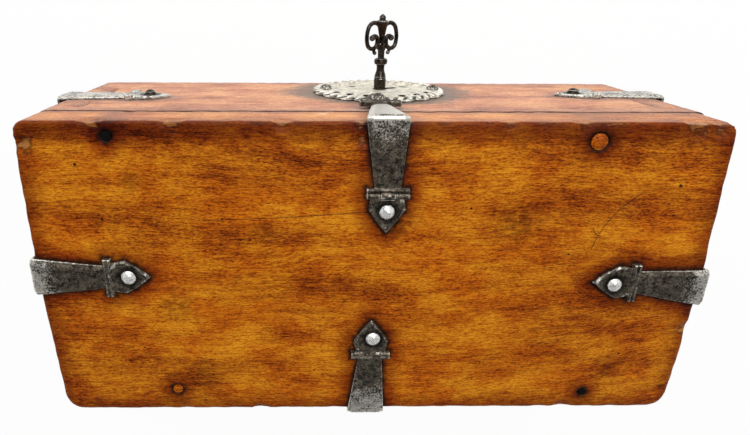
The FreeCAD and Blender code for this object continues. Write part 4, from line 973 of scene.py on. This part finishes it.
def petal_tree(material):
    """Geometry nodes: slanted petals round the lock plate, with a gap where the hasp lies."""
    tree = bpy.data.node_groups.new("Petals round a plate", "GeometryNodeTree")
    inputs = (
        ("Count", "NodeSocketInt", 40), ("Radius", "NodeSocketFloat", 35 * MM),
        ("Length", "NodeSocketFloat", 3 * MM), ("Width", "NodeSocketFloat", 1 * MM),
        ("Height", "NodeSocketFloat", 0.5 * MM), ("Slant", "NodeSocketFloat", 0.6),
        ("Dip", "NodeSocketFloat", 0.15), ("Gap", "NodeSocketFloat", 8 * MM),
    )
    for name, kind, default in inputs:
        tree.interface.new_socket(name, in_out="INPUT", socket_type=kind).default_value = default
    tree.interface.new_socket("Middle", in_out="INPUT", socket_type="NodeSocketVector")
    tree.interface.new_socket("Petals", in_out="OUTPUT", socket_type="NodeSocketGeometry")
    work = NodeWork(tree)
    given = work.node("NodeGroupInput").outputs
    count = work.amount(given["Count"])
    turn = work.amount(work.node("GeometryNodeInputIndex").outputs[0]) + 0.5
    angle = turn * math.tau / count
    across = work.amount(work.node("ShaderNodeMath", {"operation": "SINE"}, {0: angle}).outputs[0])
    upward = work.amount(work.node("ShaderNodeMath", {"operation": "COSINE"}, {0: angle}).outputs[0])
    radius = work.amount(given["Radius"])
    on_ring = work.node("ShaderNodeCombineXYZ", None, {"X": across * radius, "Z": upward * radius})
    place = work.node("ShaderNodeVectorMath", {"operation": "ADD"}, {
        0: on_ring.outputs[0], 1: given["Middle"]})
    points = work.node("GeometryNodePoints", None, {"Count": given["Count"], "Position": place.outputs[0]})
    near_slot = work.node("FunctionNodeCompare", {"data_type": "FLOAT", "operation": "LESS_THAN"}, {
        0: (across * radius).size() + (1 - upward.rise(0.0, 0.01)), 1: given["Gap"]})
    kept = work.node("GeometryNodeDeleteGeometry", {"domain": "POINT"}, {
        "Geometry": points.outputs[0], "Selection": near_slot.outputs[0]})
    ball = work.node("GeometryNodeMeshUVSphere", None, {"Segments": 12, "Rings": 8, "Radius": 1.0})
    size = work.node("ShaderNodeCombineXYZ", None, {
        "X": given["Width"], "Y": given["Height"], "Z": given["Length"]})
    petal = work.node("GeometryNodeTransform", None, {
        "Geometry": ball.outputs["Mesh"], "Scale": size.outputs[0]})
    lean = work.node("ShaderNodeCombineXYZ", None, {
        "X": work.amount(given["Dip"]) * -1.0, "Y": angle + work.amount(given["Slant"])})
    placed = work.node("GeometryNodeInstanceOnPoints", None, {
        "Points": kept.outputs[0], "Instance": petal.outputs[0], "Rotation": lean.outputs[0]})
    solid = work.node("GeometryNodeRealizeInstances", None, {"Geometry": placed.outputs[0]})
    painted = work.node("GeometryNodeSetMaterial", None, {
        "Geometry": solid.outputs[0], "Material": material})
    work.node("NodeGroupOutput", None, {"Petals": painted.outputs[0]})
    return tree


def grown(name, tree, sizes):
    """A piece made by a node tree with these sizes."""
    piece = bpy.data.objects.new(name, bpy.data.meshes.new(name))
    bpy.context.scene.collection.objects.link(piece)
    maker = piece.modifiers.new("Shape", "NODES")
    maker.node_group = tree
    for item in tree.interface.items_tree:
        if item.in_out == "INPUT" and item.name in sizes:
            maker[item.identifier] = sizes[item.name]
    settle(piece)
    return piece


class COFFER_OT_lock(bpy.types.Operator):
    """Makes the lock plate, its nails and the works behind it"""
    bl_idname = "coffer.lock"
    bl_label = "Lock"

    def execute(self, context):
        shades = settings("coffer_iron")
        plate = iron("Lock plate iron", bright=0.02, rust=0.25, gloss=0.46, plate=True)
        forged("lock_plate", plate, PLATE_MESH, 0.6 * shades.forging, rub_and_light=0.0)
        petals = grown("plate_petals", petal_tree(plate), {
            "Count": shades.petals, "Radius": PETAL_RING, "Length": 3.2 * MM, "Width": 1.25 * MM,
            "Height": 0.8 * MM, "Slant": PETAL_SLANT, "Dip": math.radians(9), "Gap": 9.5 * MM,
            "Middle": Vector((PLATE_MIDDLE.x, FRONT - 1.95 * MM, PLATE_MIDDLE.z))})
        # the petals are painted lighter, as lit ridges beside the painted-dark grooves
        set_layer(petals.data, "raised", [0.35] * len(petals.data.vertices))
        set_layer(petals.data, "rubbed", [0.3] * len(petals.data.vertices))
        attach(petals, "carcase")
        nail = iron("Plate nail iron", bright=0.12, rust=0.2, gloss=0.52)
        forged("plate_nails", nail, RIVET_MESH, 1.6 * shades.forging, rub_and_light=0.4)
        works = iron("Lock iron", bright=0.0, rust=0.4)
        for node in WORKS_NODES:
            dress(node, works)
        return {"FINISHED"}


class COFFER_OT_key(bpy.types.Operator):
    """Gives the key its dark, handled iron, with painted highlights on its raised edges"""
    bl_idname = "coffer.key"
    bl_label = "Key"

    def execute(self, context):
        shades = settings("coffer_iron")
        finish = iron("Key iron", bright=-0.08, rust=0.4, gloss=0.12, dark=0.88)
        forged("key", finish, KEY_MESH, 0.4 * shades.forging)
        return {"FINISHED"}


# ---- stage ----
def camera_axes():
    """Right, up and back of the camera: the view's own axes have the lock side at the top."""
    turn = (Matrix.Rotation(CAMERA_TURN[2], 3, "Z") @ Matrix.Rotation(CAMERA_TURN[0], 3, "X")
            @ Matrix.Rotation(CAMERA_TURN[1], 3, "Y"))
    return [Vector((-row[0], -row[1], row[2])) for row in turn]


def add_lamp(name, power, place, target, width, height):
    """A rectangular lamp that points at the target."""
    lamp = bpy.data.lights.new(name, "AREA")
    lamp.shape = "RECTANGLE"
    lamp.size = width
    lamp.size_y = height
    lamp.energy = power
    holder = bpy.data.objects.new(name, lamp)
    holder.location = place
    holder.rotation_euler = (Vector(target) - Vector(place)).to_track_quat("-Z", "Y").to_euler()
    bpy.context.scene.collection.objects.link(holder)


class COFFER_OT_stage(bpy.types.Operator):
    """Makes the floor, the light and the camera"""
    bl_idname = "coffer.stage"
    bl_label = "Stage"

    def execute(self, context):
        stage = settings("coffer_stage")
        scene = context.scene
        self.floor(stage)
        self.sky(stage, scene)
        add_lamp("Key light", stage.key_light, *KEY_LIGHT)
        add_lamp("Top light", stage.top_light, *TOP_LIGHT)
        camera = bpy.data.cameras.new("View")
        camera.lens = stage.focal
        camera.sensor_fit = "HORIZONTAL"
        camera.sensor_width = SENSOR_WIDTH
        camera.shift_x, camera.shift_y = CAMERA_SHIFT
        camera.clip_start = 0.01
        holder = bpy.data.objects.new("View", camera)
        scene.collection.objects.link(holder)
        right, up, back = camera_axes()
        holder.matrix_world = Matrix((
            (right.x, up.x, back.x, CAMERA_PLACE.x), (right.y, up.y, back.y, CAMERA_PLACE.y),
            (right.z, up.z, back.z, CAMERA_PLACE.z), (0, 0, 0, 1)))
        scene.camera = holder
        scene.view_settings.view_transform = "Standard"
        return {"FINISHED"}

    @staticmethod
    def floor(stage):
        mesh = bpy.data.meshes.new("Floor")
        corners = ((-1, -1), (1, -1), (1, 1), (-1, 1))
        mesh.from_pydata([(x * FLOOR_REACH, y * FLOOR_REACH, 0) for x, y in corners], [], [(0, 1, 2, 3)])
        piece = bpy.data.objects.new("Floor", mesh)
        bpy.context.scene.collection.objects.link(piece)
        finish = Finish("Floor")
        rays = finish.node("ShaderNodeLightPath").outputs
        seen = finish.amount(rays["Is Camera Ray"]).most(finish.amount(rays["Is Glossy Ray"]))
        chalk = finish.node("ShaderNodeBsdfDiffuse", None, {"Color": (*stage.floor, 1.0)})
        glow = finish.node("ShaderNodeEmission", None, {"Color": WHITE, "Strength": 1.0})
        both = finish.node("ShaderNodeMixShader", None, {
            0: seen * FLOOR_GLOW, 1: chalk.outputs[0], 2: glow.outputs[0]})
        finish.node("ShaderNodeOutputMaterial", None, {"Surface": both.outputs[0]})
        mesh.materials.append(finish.material)

    @staticmethod
    def sky(stage, scene):
        world = bpy.data.worlds.new("Sky")
        world.use_nodes = True
        tree = world.node_tree
        tree.nodes.clear()
        work = NodeWork(tree)
        rays = work.node("ShaderNodeLightPath").outputs
        way = work.node("ShaderNodeSeparateXYZ", None, {
            "Vector": work.node("ShaderNodeTexCoord").outputs["Generated"]})
        overhead = work.amount(way.outputs["Z"]).rise(*CEILING_RISE)
        mirrored = 1 - overhead * (1 - stage.ceiling)
        glossy = work.amount(rays["Is Glossy Ray"])
        seen = work.amount(rays["Is Camera Ray"])
        strength = seen + glossy * mirrored + (1 - seen.most(glossy)) * stage.sky
        sky = work.node("ShaderNodeBackground", None, {"Color": WHITE, "Strength": strength})
        work.node("ShaderNodeOutputWorld", None, {"Surface": sky.outputs[0]})
        scene.world = world


# ---- panel and registration ----
OPERATORS = (COFFER_OT_lid, COFFER_OT_walls, COFFER_OT_pegs, COFFER_OT_straps, COFFER_OT_hasp,
             COFFER_OT_rivets, COFFER_OT_lock, COFFER_OT_key, COFFER_OT_stage)
GROUPS = {"coffer_wood": CofferWood, "coffer_iron": CofferIron, "coffer_stage": CofferStage}


class COFFER_PT_sidebar(bpy.types.Panel):
    """Lists the coffer's sizes, colours and pieces"""
    bl_idname = "COFFER_PT_sidebar"
    bl_label = "Strapped coffer"
    bl_space_type = "VIEW_3D"
    bl_region_type = "UI"
    bl_category = "Coffer"

    def draw(self, context):
        for group, kind in GROUPS.items():
            box = self.layout.box()
            for name in kind.__annotations__:
                box.prop(getattr(context.scene, group), name)
        for operator in OPERATORS:
            self.layout.operator(operator.bl_idname)


def register():
    for kind in list(GROUPS.values()) + list(OPERATORS) + [COFFER_PT_sidebar]:
        bpy.utils.register_class(kind)
    for group, kind in GROUPS.items():
        setattr(bpy.types.Scene, group, PointerProperty(type=kind))


def unregister():
    for group in GROUPS:
        delattr(bpy.types.Scene, group)
    for kind in [COFFER_PT_sidebar] + list(reversed(OPERATORS)) + list(GROUPS.values()):
        bpy.utils.unregister_class(kind)


def main():
    register()
    bpy.ops.coffer.lid()
    bpy.ops.coffer.walls()
    bpy.ops.coffer.pegs()
    bpy.ops.coffer.straps()
    bpy.ops.coffer.hasp()
    bpy.ops.coffer.rivets()
    bpy.ops.coffer.lock()
    bpy.ops.coffer.key()
    bpy.ops.coffer.stage()


if __name__ == "__main__":
    main()
